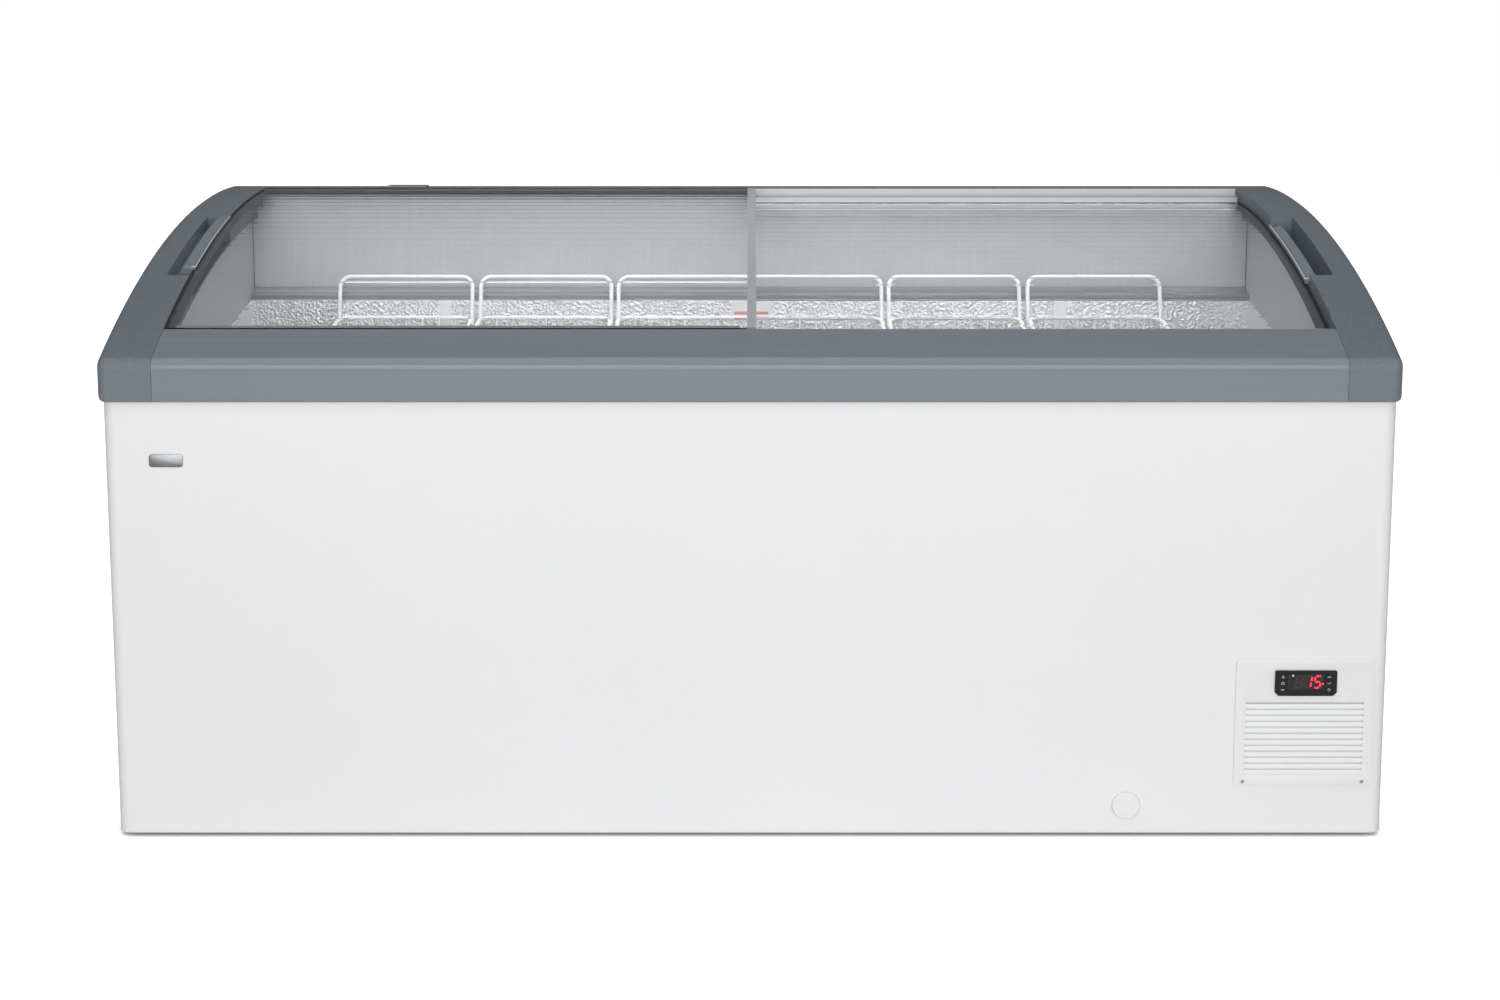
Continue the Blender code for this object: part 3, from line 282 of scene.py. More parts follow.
MATERIALS = {
    "white_steel": white_steel(),
    "white_plastic": moulded_plastic("white_moulded_plastic", (0.80, 0.805, 0.81), 0.38, 900.0,
                                     0.00012, 0.01),
    "frame_grey": frame_plastic(),
    "cap_grey": cap_plastic(),
    "panel_grey": panel_plastic("inner_panel_plastic", (0.48, 0.495, 0.515)),
    "liner": stucco_aluminium(),
    "profile": drawn_metal("anodised_profile", (0.50, 0.51, 0.52), 0.50, metallic=0.3),
    "galvanised": galvanised_steel(),
    "copper": drawn_metal("copper_tube", (0.80, 0.42, 0.25), 0.30),
    "glass": lid_glass(),
    "black_plastic": moulded_plastic("black_moulded_plastic", (0.004, 0.004, 0.005), 0.34, 1200.0,
                                     0.00008, 0.15),
    "black_paint": moulded_plastic("black_paint", (0.016, 0.016, 0.017), 0.30, 300.0, 0.0001, 0.12),
    "rubber": moulded_plastic("black_rubber", (0.018, 0.018, 0.019), 0.62, 800.0, 0.00015, 0.15),
    "wire": wire_coating(),
    "foam": moulded_plastic("insulation_foam", (0.80, 0.70, 0.45), 0.85, 250.0, 0.0008, 0.08),
    "display": moulded_plastic("display_filter", (0.030, 0.022, 0.026), 0.12, 1500.0, 0.00002, 0.10),
    "red_light": lit("red_segments", (1.0, 0.035, 0.06), 1.6, 0.75),
    "dim_segment": moulded_plastic("dim_segments", (0.060, 0.045, 0.052), 0.25, 1500.0, 0.00002, 0.10),
    "green_light": lit("green_lamp", (0.35, 0.80, 0.10), 0.9, 0.6),
    "icon": moulded_plastic("icon_ink", (0.62, 0.63, 0.64), 0.45, 1500.0, 0.00002, 0.05),
    "label_red": moulded_plastic("label_red_ink", (0.70, 0.30, 0.31), 0.40, 1500.0, 0.00002, 0.05),
    "badge_grey": drawn_metal("badge_metal", (0.30, 0.31, 0.32), 0.35),
    "cap_band": moulded_plastic("glass_edge_print", (0.050, 0.056, 0.063), 0.45, 1200.0, 0.00005, 0.10),
    "mullion": drawn_metal("mullion_profile", (0.44, 0.455, 0.475), 0.42, metallic=0.15),
    "ledge": panel_plastic("ledge_plastic", (0.24, 0.248, 0.258)),
    "back_panel": panel_plastic("back_panel_plastic", (0.48, 0.488, 0.503)),
    "dark_profile": drawn_metal("dark_profile", (0.060, 0.066, 0.072), 0.32, metallic=0.4),
    # a pale strip standing for the highlight along the pull's inner edge: painted highlight
    "painted_edge_highlight": moulded_plastic("painted_edge_highlight", (0.82, 0.83, 0.84), 0.30, 900.0, 0.00003, 0.02),
}

# nodes whose finish differs from the rest of their slot in the record
FINER_SLOTS = {
    "left_lid_edge_trim": "mullion",
    "right_lid_edge_trim": "mullion",
    "back_inner_panel": "back_panel",
    "rear_track": "back_panel",
    "rear_basket_ledge": "ledge",
}


def finish_frame():
    """Give every CAD node its finished material, from FINER_SLOTS or its slot in the record."""
    for part in frame["record"]["subparts"]:
        node = frame["nodes"][part["node"]]
        made = MATERIALS[FINER_SLOTS.get(part["node"], part["material_slot"])]
        node.data.materials.clear()
        node.data.materials.append(made)


# ---- building pieces ----------------------------------------------------------------------------
def piece(name, mesh, slot, body, smooth=True):
    """A finished mesh piece that rides on a body."""
    made = bpy.data.objects.new(name, mesh)
    bpy.context.scene.collection.objects.link(made)
    mesh.materials.append(MATERIALS[slot])
    if smooth:
        mesh.shade_smooth()
        mesh.set_sharp_from_angle(angle=math.radians(32))
    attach(made, body)
    return made


def wires(name, paths, radius, slot, body, detail=3):
    """Round wires along several paths, each a (points, closed) pair, in one curve."""
    curve = bpy.data.curves.new(name, "CURVE")
    curve.dimensions = "3D"
    curve.bevel_depth = radius
    curve.bevel_resolution = detail
    curve.use_fill_caps = True
    for points, closed in paths:
        spline = curve.splines.new("POLY")
        spline.points.add(len(points) - 1)
        for place, point in zip(spline.points, points):
            place.co = (*point, 1.0)
        spline.use_cyclic_u = closed
        spline.use_smooth = True
    made = bpy.data.objects.new(name, curve)
    bpy.context.scene.collection.objects.link(made)
    curve.materials.append(MATERIALS[slot])
    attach(made, body)
    return made


def loft(rings, closed_ring=True, caps=True):
    """A skin over rings of points that all have the same number of points."""
    form = bmesh.new()
    rows = [[form.verts.new(point) for point in ring] for ring in rings]
    count = len(rows[0])
    last = count if closed_ring else count - 1
    for first, second in zip(rows, rows[1:]):
        for index in range(last):
            after = (index + 1) % count
            form.faces.new((first[index], first[after], second[after], second[index]))
    if caps:
        form.faces.new(list(reversed(rows[0])))
        form.faces.new(rows[-1])
    bmesh.ops.recalc_face_normals(form, faces=form.faces)
    mesh = bpy.data.meshes.new("loft")
    form.to_mesh(mesh)
    form.free()
    return mesh


def arc(centre, radius, start, end, steps):
    """Points on a circle; angles in degrees."""
    turn = [math.radians(start + (end - start) * index / steps) for index in range(steps + 1)]
    return [(centre[0] + radius * math.cos(a), centre[1] + radius * math.sin(a)) for a in turn]


def rounded(low, high, radius, steps=5):
    """Outline of a rectangle with round corners, anticlockwise."""
    corners = [((high[0] - radius, high[1] - radius), 0), ((low[0] + radius, high[1] - radius), 90),
               ((low[0] + radius, low[1] + radius), 180), ((high[0] - radius, low[1] + radius), 270)]
    return [point for centre, start in corners for point in arc(centre, radius, start, start + 90, steps)]


def plate(outline, front, back, edge=0.0):
    """A flat XZ outline between two y values; its front edge is drawn in by edge for a soft arris."""
    centre = Vector((sum(p[0] for p in outline) / len(outline), sum(p[1] for p in outline) / len(outline)))
    spans = [max(abs(p[axis] - centre[axis]) for p in outline) for axis in (0, 1)]

    def ring(y, inset):
        scale = [1 - inset / span for span in spans]
        return [(centre[0] + (x - centre[0]) * scale[0], y, centre[1] + (z - centre[1]) * scale[1])
                for x, z in outline]

    if not edge:
        return loft([ring(back, 0.0), ring(front, 0.0)])
    rings = [ring(back, 0.0), ring(front + edge, 0.0)]
    rings += [ring(front + edge * 0.3, edge * 0.3), ring(front, edge)]
    return loft(rings)


def lid_point(x, radius, angle):
    """A point on an arc about the lids' axis; the angle in degrees from straight up, to the front."""
    turn = math.radians(angle)
    return (x, ARC_Y - radius * math.sin(turn), ARC_Z + radius * math.cos(turn))


def lid_angle(radius, y):
    return math.degrees(math.asin((ARC_Y - y) / radius))


# ---- baskets ------------------------------------------------------------------------------------
RIM_WIRE = 0.0034
GRID_WIRE = 0.0019
GRID_PITCH = 0.0270
CROSS_PITCH = 0.045
CROSS_INSET = 0.012
RING_HEIGHTS = (0.22, 0.48, 0.74)
BASKET_TAPER = 0.012
LOOP_CORNER = 0.017
LOOP_LEAN = 0.0205              # the loop's top stands this far behind its foot
WALL_CORNER = 0.022
FLOOR_BEND = 0.014
BASKET_REAR = 0.200
BASKET_RIM_FRONT = 0.585
RIM_RISE = 0.0655               # the loop stands this far over the rear rim


def basket_shape(name):
    """The basket's corners, from its CAD box: walls' middle line and rim heights."""
    low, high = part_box(name)
    inset = 0.0036
    rim_drop = 0.0040
    rear_top = high.z - RIM_RISE
    return {
        "left": low.x + inset, "right": high.x - inset,
        "front": low.y + inset, "rear": BASKET_REAR - inset,
        "floor": low.z + inset, "top": high.z - RIM_WIRE - 0.0005,
        "rim_front": BASKET_RIM_FRONT - rim_drop, "rim_rear": rear_top - rim_drop,
    }


def basket_edge(shape, y_share, height_share):
    """y and z on the basket's end walls: y_share 0 front, 1 rear; height_share 0 floor, 1 rim."""
    rim = shape["rim_front"] if y_share == 0 else shape["rim_rear"]
    inward = BASKET_TAPER * (1 - height_share) * (1 if y_share == 0 else -1)
    y = (shape["front"] if y_share == 0 else shape["rear"]) + inward
    return y, shape["floor"] + (rim - shape["floor"]) * height_share


def bend(points, radius, steps=4):
    """The path with its inner corners rounded."""
    points = [Vector(p) for p in points]
    made = [points[0]]
    for before, corner, after in zip(points, points[1:], points[2:]):
        back = (before - corner).normalized()
        ahead = (after - corner).normalized()
        reach = min(radius, (before - corner).length * 0.45, (after - corner).length * 0.45)
        start = corner + back * reach
        end = corner + ahead * reach
        for index in range(steps + 1):
            t = index / steps
            made.append(start * (1 - t) ** 2 + corner * 2 * t * (1 - t) + end * t ** 2)
    made.append(points[-1])
    return made


def ring_path(shape, share):
    """A horizontal wire round the basket at one share of the wall height."""
    front_y, front_z = basket_edge(shape, 0, share)
    rear_y, rear_z = basket_edge(shape, 1, share)
    left, right = shape["left"], shape["right"]
    radius = WALL_CORNER
    corners = [((right - radius, rear_y - radius), 0), ((left + radius, rear_y - radius), 90),
               ((left + radius, front_y + radius), 180), ((right - radius, front_y + radius), 270)]
    plan = [p for centre, start in corners for p in arc(centre, radius, start, start + 90, 5)]
    slope = (rear_z - front_z) / (rear_y - front_y)
    return [(x, y, front_z + slope * (y - front_y)) for x, y in plan]


def long_wire(shape, x):
    """A wire down the front wall, along the floor and up the rear wall."""
    front_y, front_z = basket_edge(shape, 0, 1.0)
    rear_y, rear_z = basket_edge(shape, 1, 1.0)
    low_front, floor = basket_edge(shape, 0, 0.0)
    low_rear = basket_edge(shape, 1, 0.0)[0]
    path = [(x, front_y, front_z), (x, low_front, floor), (x, low_rear, floor), (x, rear_y, rear_z)]
    return bend(path, FLOOR_BEND)


def cross_wire(shape, y):
    """A wire down the left wall, along the floor and up the right wall."""
    slope = (shape["rim_rear"] - shape["rim_front"]) / (shape["rear"] - shape["front"])
    top = shape["rim_front"] + slope * (y - shape["front"])
    left, right, floor = shape["left"], shape["right"], shape["floor"] + 2 * GRID_WIRE
    return bend([(left, y, top), (left, y, floor), (right, y, floor), (right, y, top)], FLOOR_BEND)


def loop_path(shape):
    """The tall rear handle loop, which leans back over the ledge."""
    left, right = shape["left"], shape["right"]
    rim = shape["rim_rear"]
    bottom = rim - 0.012
    top = shape["top"]
    first = arc((left + LOOP_CORNER, top - LOOP_CORNER), LOOP_CORNER, 180, 90, 8)
    second = arc((right - LOOP_CORNER, top - LOOP_CORNER), LOOP_CORNER, 90, 0, 8)
    flat = [(left, bottom)] + first + second + [(right, bottom)]
    start = shape["rear"] + 0.0011
    return [(x, start + LOOP_LEAN * max(0.0, z - rim) / (top - rim), z) for x, z in flat]


def spaced(low, high, pitch):
    """Evenly spaced values strictly between two ends, near a pitch."""
    count = max(1, round((high - low) / pitch))
    return [low + (high - low) * index / count for index in range(1, count)]


def make_basket(name):
    """A wire basket: a heavy rim and handle loop, and a finer grid."""
    shape = basket_shape(name)
    body = name + "_body"
    heavy = [(ring_path(shape, 1.0), True), (loop_path(shape), False)]
    rim = wires(name + "_rim_and_loop", heavy, RIM_WIRE, "wire", body, 4)
    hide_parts(name)
    grid = [(long_wire(shape, x), False) for x in spaced(shape["left"], shape["right"], GRID_PITCH)]
    ends = (shape["front"] + CROSS_INSET, shape["rear"] - CROSS_INSET)
    grid += [(cross_wire(shape, y), False) for y in spaced(*ends, CROSS_PITCH)]
    grid += [(ring_path(shape, share), True) for share in RING_HEIGHTS]
    wires(name + "_grid", grid, GRID_WIRE, "wire", body, 2)


# ---- lids ---------------------------------------------------------------------------------------
# across the handle from its inner edge, and out from the glass
HANDLE_SECTION = [
    (0.0003, 0.0018), (0.0000, 0.0040), (0.0006, 0.0052), (0.0018, 0.0055), (0.0050, 0.0043),
    (0.0090, 0.0040), (0.0118, 0.0052), (0.0135, 0.0058), (0.0172, 0.0057), (0.0188, 0.0046),
    (0.0202, 0.0014), (0.0222, -0.0020), (0.0245, -0.0046), (0.0275, -0.0064),
    (0.0283, -0.0074), (0.0275, -0.0084), (0.0120, -0.0150), (0.0054, -0.0120), (0.0052, 0.0018),
]
HANDLE_INNER = 0.8181
HANDLE_RAISE = {"left_lid": 0.0, "right_lid": 0.0060}
HANDLE_ENDS = (0.006, 0.015, 0.030)     # shares of its length over which an end rounds off


def handle_ring(lid, angle, close):
    """One cross-section of the handle; close from 0 to 1 draws it in towards its end."""
    side = LID_SIDE[lid]
    radius = LID_RADIUS[lid]
    raised = HANDLE_RAISE[lid]
    ring = []
    for u, v in HANDLE_SECTION:
        lift = raised if v > 0.0030 else raised * 0.4
        x = side * (HANDLE_INNER + u * (1 - 0.12 * close))
        ring.append(lid_point(x, radius + (v + lift) * (1 - 0.3 * close), angle))
    return ring


def make_handle(lid):
    """The moulded pull: a grooved strip on the glass, a ridge and a dished lip down into the notch."""
    side = LID_SIDE[lid]
    radius = LID_RADIUS[lid]
    low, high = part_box(lid + "_handle")
    start = lid_angle(radius, low.y) - 0.12
    end = lid_angle(radius, high.y) + 0.12
    far_ends = [1 - share for share in reversed(HANDLE_ENDS)]
    shares = [0.0, *HANDLE_ENDS, *[index / 20 for index in range(1, 20)], *far_ends, 1.0]
    rings = []
    for share in shares:
        near = min(share, 1 - share)
        close = max(0.0, 1 - near / HANDLE_ENDS[-1]) ** 2
        rings.append(handle_ring(lid, start + (end - start) * share, close))
    made = piece(lid + "_pull", loft(rings), "frame_grey", lid)
    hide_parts(lid + "_handle")
    # a pale line along the pull's inner edge, ending in a short hook: a painted highlight
    edge_radius = radius + 0.0047 + HANDLE_RAISE[lid]
    x = side * (HANDLE_INNER + 0.0004)
    angles = [start + (end - start) * (0.01 + 0.98 * index / 24) for index in range(25)]
    line = [lid_point(x, edge_radius, angle) for angle in angles]
    hook = lid_point(x + side * 0.0060, edge_radius, start + 0.01 * (end - start) - 0.06)
    wires(lid + "_pull_edge_highlight", [([hook] + line, False)], 0.0006, "painted_edge_highlight", lid, 1)


def lid_strip(name, x_range, radii, slot, lid):
    """A thin band that follows the whole lid arc."""
    low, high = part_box(lid + "_end_seal")
    radius = LID_RADIUS[lid]
    start = lid_angle(radius, low.y + 0.003)
    end = lid_angle(radius, high.y)
    steps = 40
    rings = []
    for index in range(steps + 1):
        angle = start + (end - start) * index / steps
        under = [lid_point(x, radii[0], angle) for x in x_range]
        over = [lid_point(x, radii[1], angle) for x in reversed(x_range)]
        rings.append(under + over)
    return piece(name, loft(rings), slot, lid)


EDGE_BAND_X = (0.8065, 0.8185)
EDGE_BAND_THICK = 0.0010


def make_lid_details(lid):
    """The handle, and the dark band printed under the glass along its outer edge."""
    make_handle(lid)
    ends = sorted(LID_SIDE[lid] * x for x in EDGE_BAND_X)
    under = LID_RADIUS[lid] - GLASS
    lid_strip(lid + "_edge_band", ends, (under - EDGE_BAND_THICK, under - LIFT), "cap_band", lid)


PROFILE_GROOVE = 0.0016
# shares of the height, and depth in grooves, from the bottom up
PROFILE_STEPS = [
    (0.00, 0.0), (0.15, 0.0), (0.15, 1.0), (0.20, 1.0), (0.20, 0.0), (0.42, 0.0), (0.42, 1.6),
    (0.49, 1.6), (0.49, 0.0), (0.70, 0.0), (0.70, 0.6), (0.75, 0.6), (0.75, 0.0), (0.90, 0.0),
    (0.90, 1.0), (0.95, 1.0), (0.95, 0.0), (1.00, 0.0),
]
# spans of the dark strips laid over three of the grooves: painted shade in the grooves
PROFILE_GROOVE_SHADES = ((0.13, 0.21), (0.41, 0.50), (0.90, 0.96))


def make_rear_profile():
    """The lower lid's aluminium rear profile: drawn grooves, three covered by a dark strip of painted
    groove shade.
    """
    low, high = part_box("right_lid_rear_profile")
    height = high.z - low.z
    front = low.y
    section = [(front + depth * PROFILE_GROOVE, low.z + height * share) for share, depth in PROFILE_STEPS]
    section += [(high.y, high.z), (high.y, low.z)]
    rings = [[(x, y, z) for y, z in section] for x in (low.x, high.x)]
    made = piece("right_lid_grooved_profile", loft(rings), "profile", "right_lid")
    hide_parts("right_lid_rear_profile")
    # painted groove shade: a thin dark strip just in front of each of three grooves
    for number, (bottom, top) in enumerate(PROFILE_GROOVE_SHADES, 1):
        strip = [(low.x, low.z + height * bottom), (high.x, low.z + height * bottom),
                 (high.x, low.z + height * top), (low.x, low.z + height * top)]
        shape = plate(strip, front - 0.0002, front - 0.00005)
        piece(f"right_lid_profile_groove_shade_{number}", shape, "dark_profile", "right_lid", smooth=False)


FACING_Z = (0.8612, 0.8732)
FACING_THICK = 0.0008
FACING_GROOVES = [(0.00, 0.0), (0.22, 0.0), (0.22, 0.0005), (0.30, 0.0005), (0.30, 0.0), (0.60, 0.0),
                  (0.60, 0.0004), (0.66, 0.0004), (0.66, 0.0), (1.00, 0.0)]


def make_track_facing():
    """Grooved aluminium face of the rear track, in front of the rear rail's lip."""
    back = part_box("rear_rail")[0].y - LIFT
    front = back - FACING_THICK
    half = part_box("rear_rail")[1].x - 0.001
    bottom, top = FACING_Z
    section = [(front + inset, bottom + (top - bottom) * share) for share, inset in FACING_GROOVES]
    section += [(back, top), (back, bottom)]
    rings = [[(x, y, z) for y, z in section] for x in (-half, half)]
    piece("rear_track_facing", loft(rings), "profile", "cabinet")


UPPER_COVER = [(0.0, 0.0), (0.0, 0.0022), (0.0012, 0.0030), (0.0050, 0.0030), (0.0058, 0.0022),
               (0.0085, 0.0022), (0.0093, 0.0030), (0.0190, 0.0030), (0.0200, 0.0022), (0.0200, 0.0)]


def make_upper_cover():
    """Dark grooved strip on the upper lid's glass along its rear edge."""
    low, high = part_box("left_lid_rear_profile")
    angle = lid_angle(LID_RADIUS["left_lid"], high.y - 0.0205)
    y, z = lid_point(0.0, LID_RADIUS["left_lid"] + LIFT, angle)[1:]
    tilt = math.radians(angle - 0.42)
    section = [(y + u * math.cos(tilt) - v * math.sin(tilt), z + u * math.sin(tilt) + v * math.cos(tilt))
               for u, v in UPPER_COVER]
    rings = [[(x, y_at, z_at) for y_at, z_at in section] for x in (low.x, high.x)]
    piece("left_lid_rear_cover", loft(rings), "dark_profile", "left_lid")


# ---- front grille and controller ----------------------------------------------------------------
LOUVRES = 12
LOUVRE_X = (0.6965, 0.8625)
LOUVRE_Z = (0.0925, 0.1975)
LOUVRE_DEPTH = 0.0042
GRILLE_CORNER = 0.0046
GRILLE_ARRIS = 0.0004
CONTROLLER_WINDOW = ((0.7415, 0.2135), (0.8170, 0.2390))


def make_grille():
    """The moulded grille: a flat panel with a recessed field of overlapping slats."""
    low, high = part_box("grille_panel")
    outer = rounded((low.x, low.z), (high.x, high.z), GRILLE_CORNER)
    field = ((LOUVRE_X[0], LOUVRE_Z[0]), (LOUVRE_X[1], LOUVRE_Z[1]))
    holes = [rounded(*corners, 0.0012, 3) for corners in (field, CONTROLLER_WINDOW)]
    panel = cut_plate(outer, holes, low.y, high.y, GRILLE_ARRIS)
    made = piece("grille_moulding", panel, "white_plastic", "cabinet")
    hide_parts("grille_panel")
    rings = [[(x, y, z) for y, z in slat_section(low.y)] for x in LOUVRE_X]
    piece("grille_slats", loft(rings), "white_plastic", "cabinet")


def slat_section(front):
    """Sawtooth section of the slats; each slopes out and down and overhangs the next."""
    pitch = (LOUVRE_Z[1] - LOUVRE_Z[0]) / LOUVRES
    points = []
    for number in range(LOUVRES):
        top = LOUVRE_Z[1] - number * pitch
        points.append((front + LOUVRE_DEPTH, top - 0.0006))
        points.append((front + LOUVRE_DEPTH * 0.9, top - pitch * 0.16))
        points.append((front + LOUVRE_DEPTH * 0.22, top - pitch * 0.34))
        points.append((front + 0.0001, top - pitch * 0.70))
        points.append((front + 0.0001, top - pitch + 0.0002))
    back = front + LOUVRE_DEPTH + 0.0003
    return points + [(back, LOUVRE_Z[0]), (back, LOUVRE_Z[1])]


def cut_plate(outer, holes, front, back, soft=0.0):
    """A flat XZ plate with holes through it; its edges are rounded by soft."""
    curve = bpy.data.curves.new("cut_plate", "CURVE")
    curve.dimensions = "2D"
    curve.fill_mode = "BOTH"
    curve.extrude = (back - front) / 2 - soft
    curve.bevel_depth = soft
    curve.bevel_resolution = 2
    curve.offset = -soft
    for points in [outer, *holes]:
        spline = curve.splines.new("POLY")
        spline.points.add(len(points) - 1)
        for place, point in zip(spline.points, points):
            place.co = (*point, 0.0, 1.0)
        spline.use_cyclic_u = True
    made = bpy.data.objects.new("cut_plate", curve)
    bpy.context.scene.collection.objects.link(made)
    bpy.context.view_layer.update()
    mesh = bpy.data.meshes.new_from_object(made.evaluated_get(bpy.context.evaluated_depsgraph_get()))
    bpy.data.objects.remove(made, do_unlink=True)
    turn = Matrix(((1, 0, 0), (0, 0, -1), (0, 1, 0))).to_4x4()
    mesh.transform(Matrix.Translation((0.0, (front + back) / 2, 0.0)) @ turn)
    form = bmesh.new()
    form.from_mesh(mesh)
    bmesh.ops.remove_doubles(form, verts=form.verts, dist=0.00001)
    bmesh.ops.recalc_face_normals(form, faces=form.faces)
    form.to_mesh(mesh)
    form.free()
    mesh.materials.clear()
    return mesh


SEGMENTS = {
    "a": ((0.0, 1.0), (1.0, 1.0)), "b": ((1.0, 1.0), (1.0, 0.5)), "c": ((1.0, 0.5), (1.0, 0.0)),
    "d": ((0.0, 0.0), (1.0, 0.0)), "e": ((0.0, 0.5), (0.0, 0.0)), "f": ((0.0, 1.0), (0.0, 0.5)),
    "g": ((0.0, 0.5), (1.0, 0.5)),
}
DIGITS = {"1": "bc", "5": "acdfg", " ": ""}
DIGIT_SIZE = (0.0084, 0.0168)
DIGIT_PITCH = 0.0130
DIGIT_LEAN = 0.15


def segment_outline(origin, start, end, width):
    """A hexagonal bar from one corner of the digit to another, with mitred ends."""
    size = DIGIT_SIZE
    a = Vector((start[0] * size[0], start[1] * size[1]))
    b = Vector((end[0] * size[0], end[1] * size[1]))
    along = (b - a).normalized()
    across = Vector((-along.y, along.x)) * width / 2
    a = a + along * width * 0.35
    b = b - along * width * 0.35
    tip = along * width / 2
    flat = [a, a + tip + across, b - tip + across, b, b - tip - across, a + tip - across]
    return [(origin[0] + p.x + p.y * DIGIT_LEAN, origin[1] + p.y) for p in flat]


def make_digits(window_low, window_high):
    """Three leaning seven-segment places; the last two show a number."""
    front = window_low.y - 0.00025
    base = window_low.z + 0.0032
    first = window_high.x - 0.0148 - 2 * DIGIT_PITCH
    for place, shown in enumerate(" 15"):
        origin = (first + place * DIGIT_PITCH, base)
        for letter, (start, end) in SEGMENTS.items():
            alight = letter in DIGITS[shown]
            outline = segment_outline(origin, start, end, 0.0024 if alight else 0.0018)
            slot = "red_light" if alight else "dim_segment"
            back = window_low.y - 0.00003
            piece(f"digit_{place}_{letter}", plate(outline, front, back), slot, "cabinet", smooth=False)
    dot = arc((window_high.x - 0.0017, base + 0.0055), 0.0012, 0, 345, 14)
    piece("digit_dot", plate(dot, front, window_low.y - 0.00003), "red_light", "cabinet", smooth=False)
    lamp = arc((window_low.x + 0.0075, window_high.z - 0.0022), 0.0013, 0, 345, 14)
    piece("run_lamp", plate(lamp, front, window_low.y - 0.00003), "green_light", "cabinet", smooth=False)


def stroke(name, points, width, front, body, closed=False):
    """A printed line of one width on the face of the controller."""
    wires(name, [([(x, front, z) for x, z in points], closed)], width / 2, "icon", body, 2)


KEYS = ("key_up", "key_down", "key_set")


def make_icons(front):
    """Plain symbols beside the display: arrows, a ring, and simple shapes on the left."""
    low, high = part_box("key_up")
    key_x = (low.x + high.x) / 2
    face = low.y - 0.00005
    up, down, ring = [(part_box(name)[0].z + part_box(name)[1].z) / 2 for name in KEYS]
    chevron = [(-0.0025, -0.0009), (0.0, 0.0009), (0.0025, -0.0009)]
    stroke("icon_up", [(key_x + u, up + v) for u, v in chevron], 0.0008, face, "key_up_body")
    stroke("icon_down", [(key_x + u, down - v) for u, v in chevron], 0.0008, face, "key_down_body")
    stroke("icon_ring", arc((key_x, ring), 0.0017, 0, 340, 17), 0.0006, face, "key_set_body", closed=True)
    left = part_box("display_window")[0].x - 0.0064
    drop = arc((left, up), 0.0014, 200, 340, 8) + [(left, up + 0.0020)]
    stroke("icon_drop", drop, 0.0009, front, "cabinet", closed=True)
    bell = arc((left, down), 0.0016, 0, 180, 8)
    bell += [(left - 0.0018, down - 0.0014), (left + 0.0018, down - 0.0014)]
    stroke("icon_bell", bell, 0.0009, front, "cabinet", closed=True)
    stroke("icon_bar", [(left - 0.0024, ring), (left + 0.0024, ring)], 0.0012, front, "cabinet")


BEZEL_CUT = 0.0052
BEZEL_ROUND = 0.0022


def make_controller():
    """A softer bezel with cut lower corners, and what shows on the display."""
    low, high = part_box("controller_housing")
    cut = BEZEL_CUT
    soft = BEZEL_ROUND
    outline = [(low.x + cut, low.z), (high.x - cut, low.z), (high.x, low.z + cut)]
    outline += arc((high.x - soft, high.z - soft), soft, 0, 90, 4)
    outline += arc((low.x + soft, high.z - soft), soft, 90, 180, 4)
    outline += [(low.x, low.z + cut)]
    window_low, window_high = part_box("display_window")
    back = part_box("grille_panel")[0].y - LIFT
    bezel = piece("controller_bezel", bezel_mesh(outline, low.y, back), "black_plastic", "cabinet")
    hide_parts("controller_housing")
    make_digits(window_low, window_high)
    make_icons(low.y - 0.00005)


def bezel_mesh(outline, front, back):
    """The bezel plate with its window and key wells left open."""
    low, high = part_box("display_window")
    loops = [rounded((low.x - LIFT, low.z - LIFT), (high.x + LIFT, high.z + LIFT), 0.0006, 2)]
    for name in KEYS:
        low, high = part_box(name)
        centre = ((low.x + high.x) / 2, (low.z + high.z) / 2)
        loops.append(arc(centre, (high.x - low.x) / 2 + 0.00025, 0, 345, 23))
    return cut_plate(outline, loops, front, back)


# ---- small details ------------------------------------------------------------------------------
LABEL = ((-0.0315, 0.6655), (0.0355, 0.6875))
BADGE = ((-0.832, 0.534), (-0.785, 0.5525))


def make_wall_label():
    """A plain label on the liner's back wall: white with a pale red bar."""
    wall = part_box("left_wall_strip")[1].y
    low, high = LABEL
    piece("wall_label", plate(rounded(low, high, 0.0015), wall - 0.0006, wall), "white_plastic", "cabinet")
    bar = rounded((low[0] + 0.005, low[1] + 0.0015), (high[0] - 0.005, low[1] + 0.0065), 0.0004, 2)
    piece("wall_label_bar", plate(bar, wall - 0.0008, wall - 0.00065), "label_red", "cabinet", smooth=False)


def make_badge():
    """A small blank badge at the top left of the front."""
    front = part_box("outer_shell")[0].y
    outline = rounded(*BADGE, 0.004)
    piece("blank_badge", plate(outline, front - 0.0010, front - LIFT, 0.0004), "badge_grey", "cabinet")


def make_screw_recess_shades():
    """Black crosses on the two grille screws: painted shade standing for their cross recesses."""
    for side in ("left", "right"):
        low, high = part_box(f"grille_screw_{side}")
        x, z = (low.x + high.x) / 2, (low.z + high.z) / 2
        arm, half = 0.0017, 0.0003
        outline = [(x - half, z - arm), (x + half, z - arm), (x + half, z - half), (x + arm, z - half),
                   (x + arm, z + half), (x + half, z + half), (x + half, z + arm), (x - half, z + arm),
                   (x - half, z + half), (x - arm, z + half), (x - arm, z - half), (x - half, z - half)]
        # a thin black cross on the screw face: painted shade where the recess would be dark
        cross = plate(outline, low.y - 0.00005, low.y + 0.0002)
        piece(f"screw_recess_{side}", cross, "black_plastic", "cabinet", smooth=False)


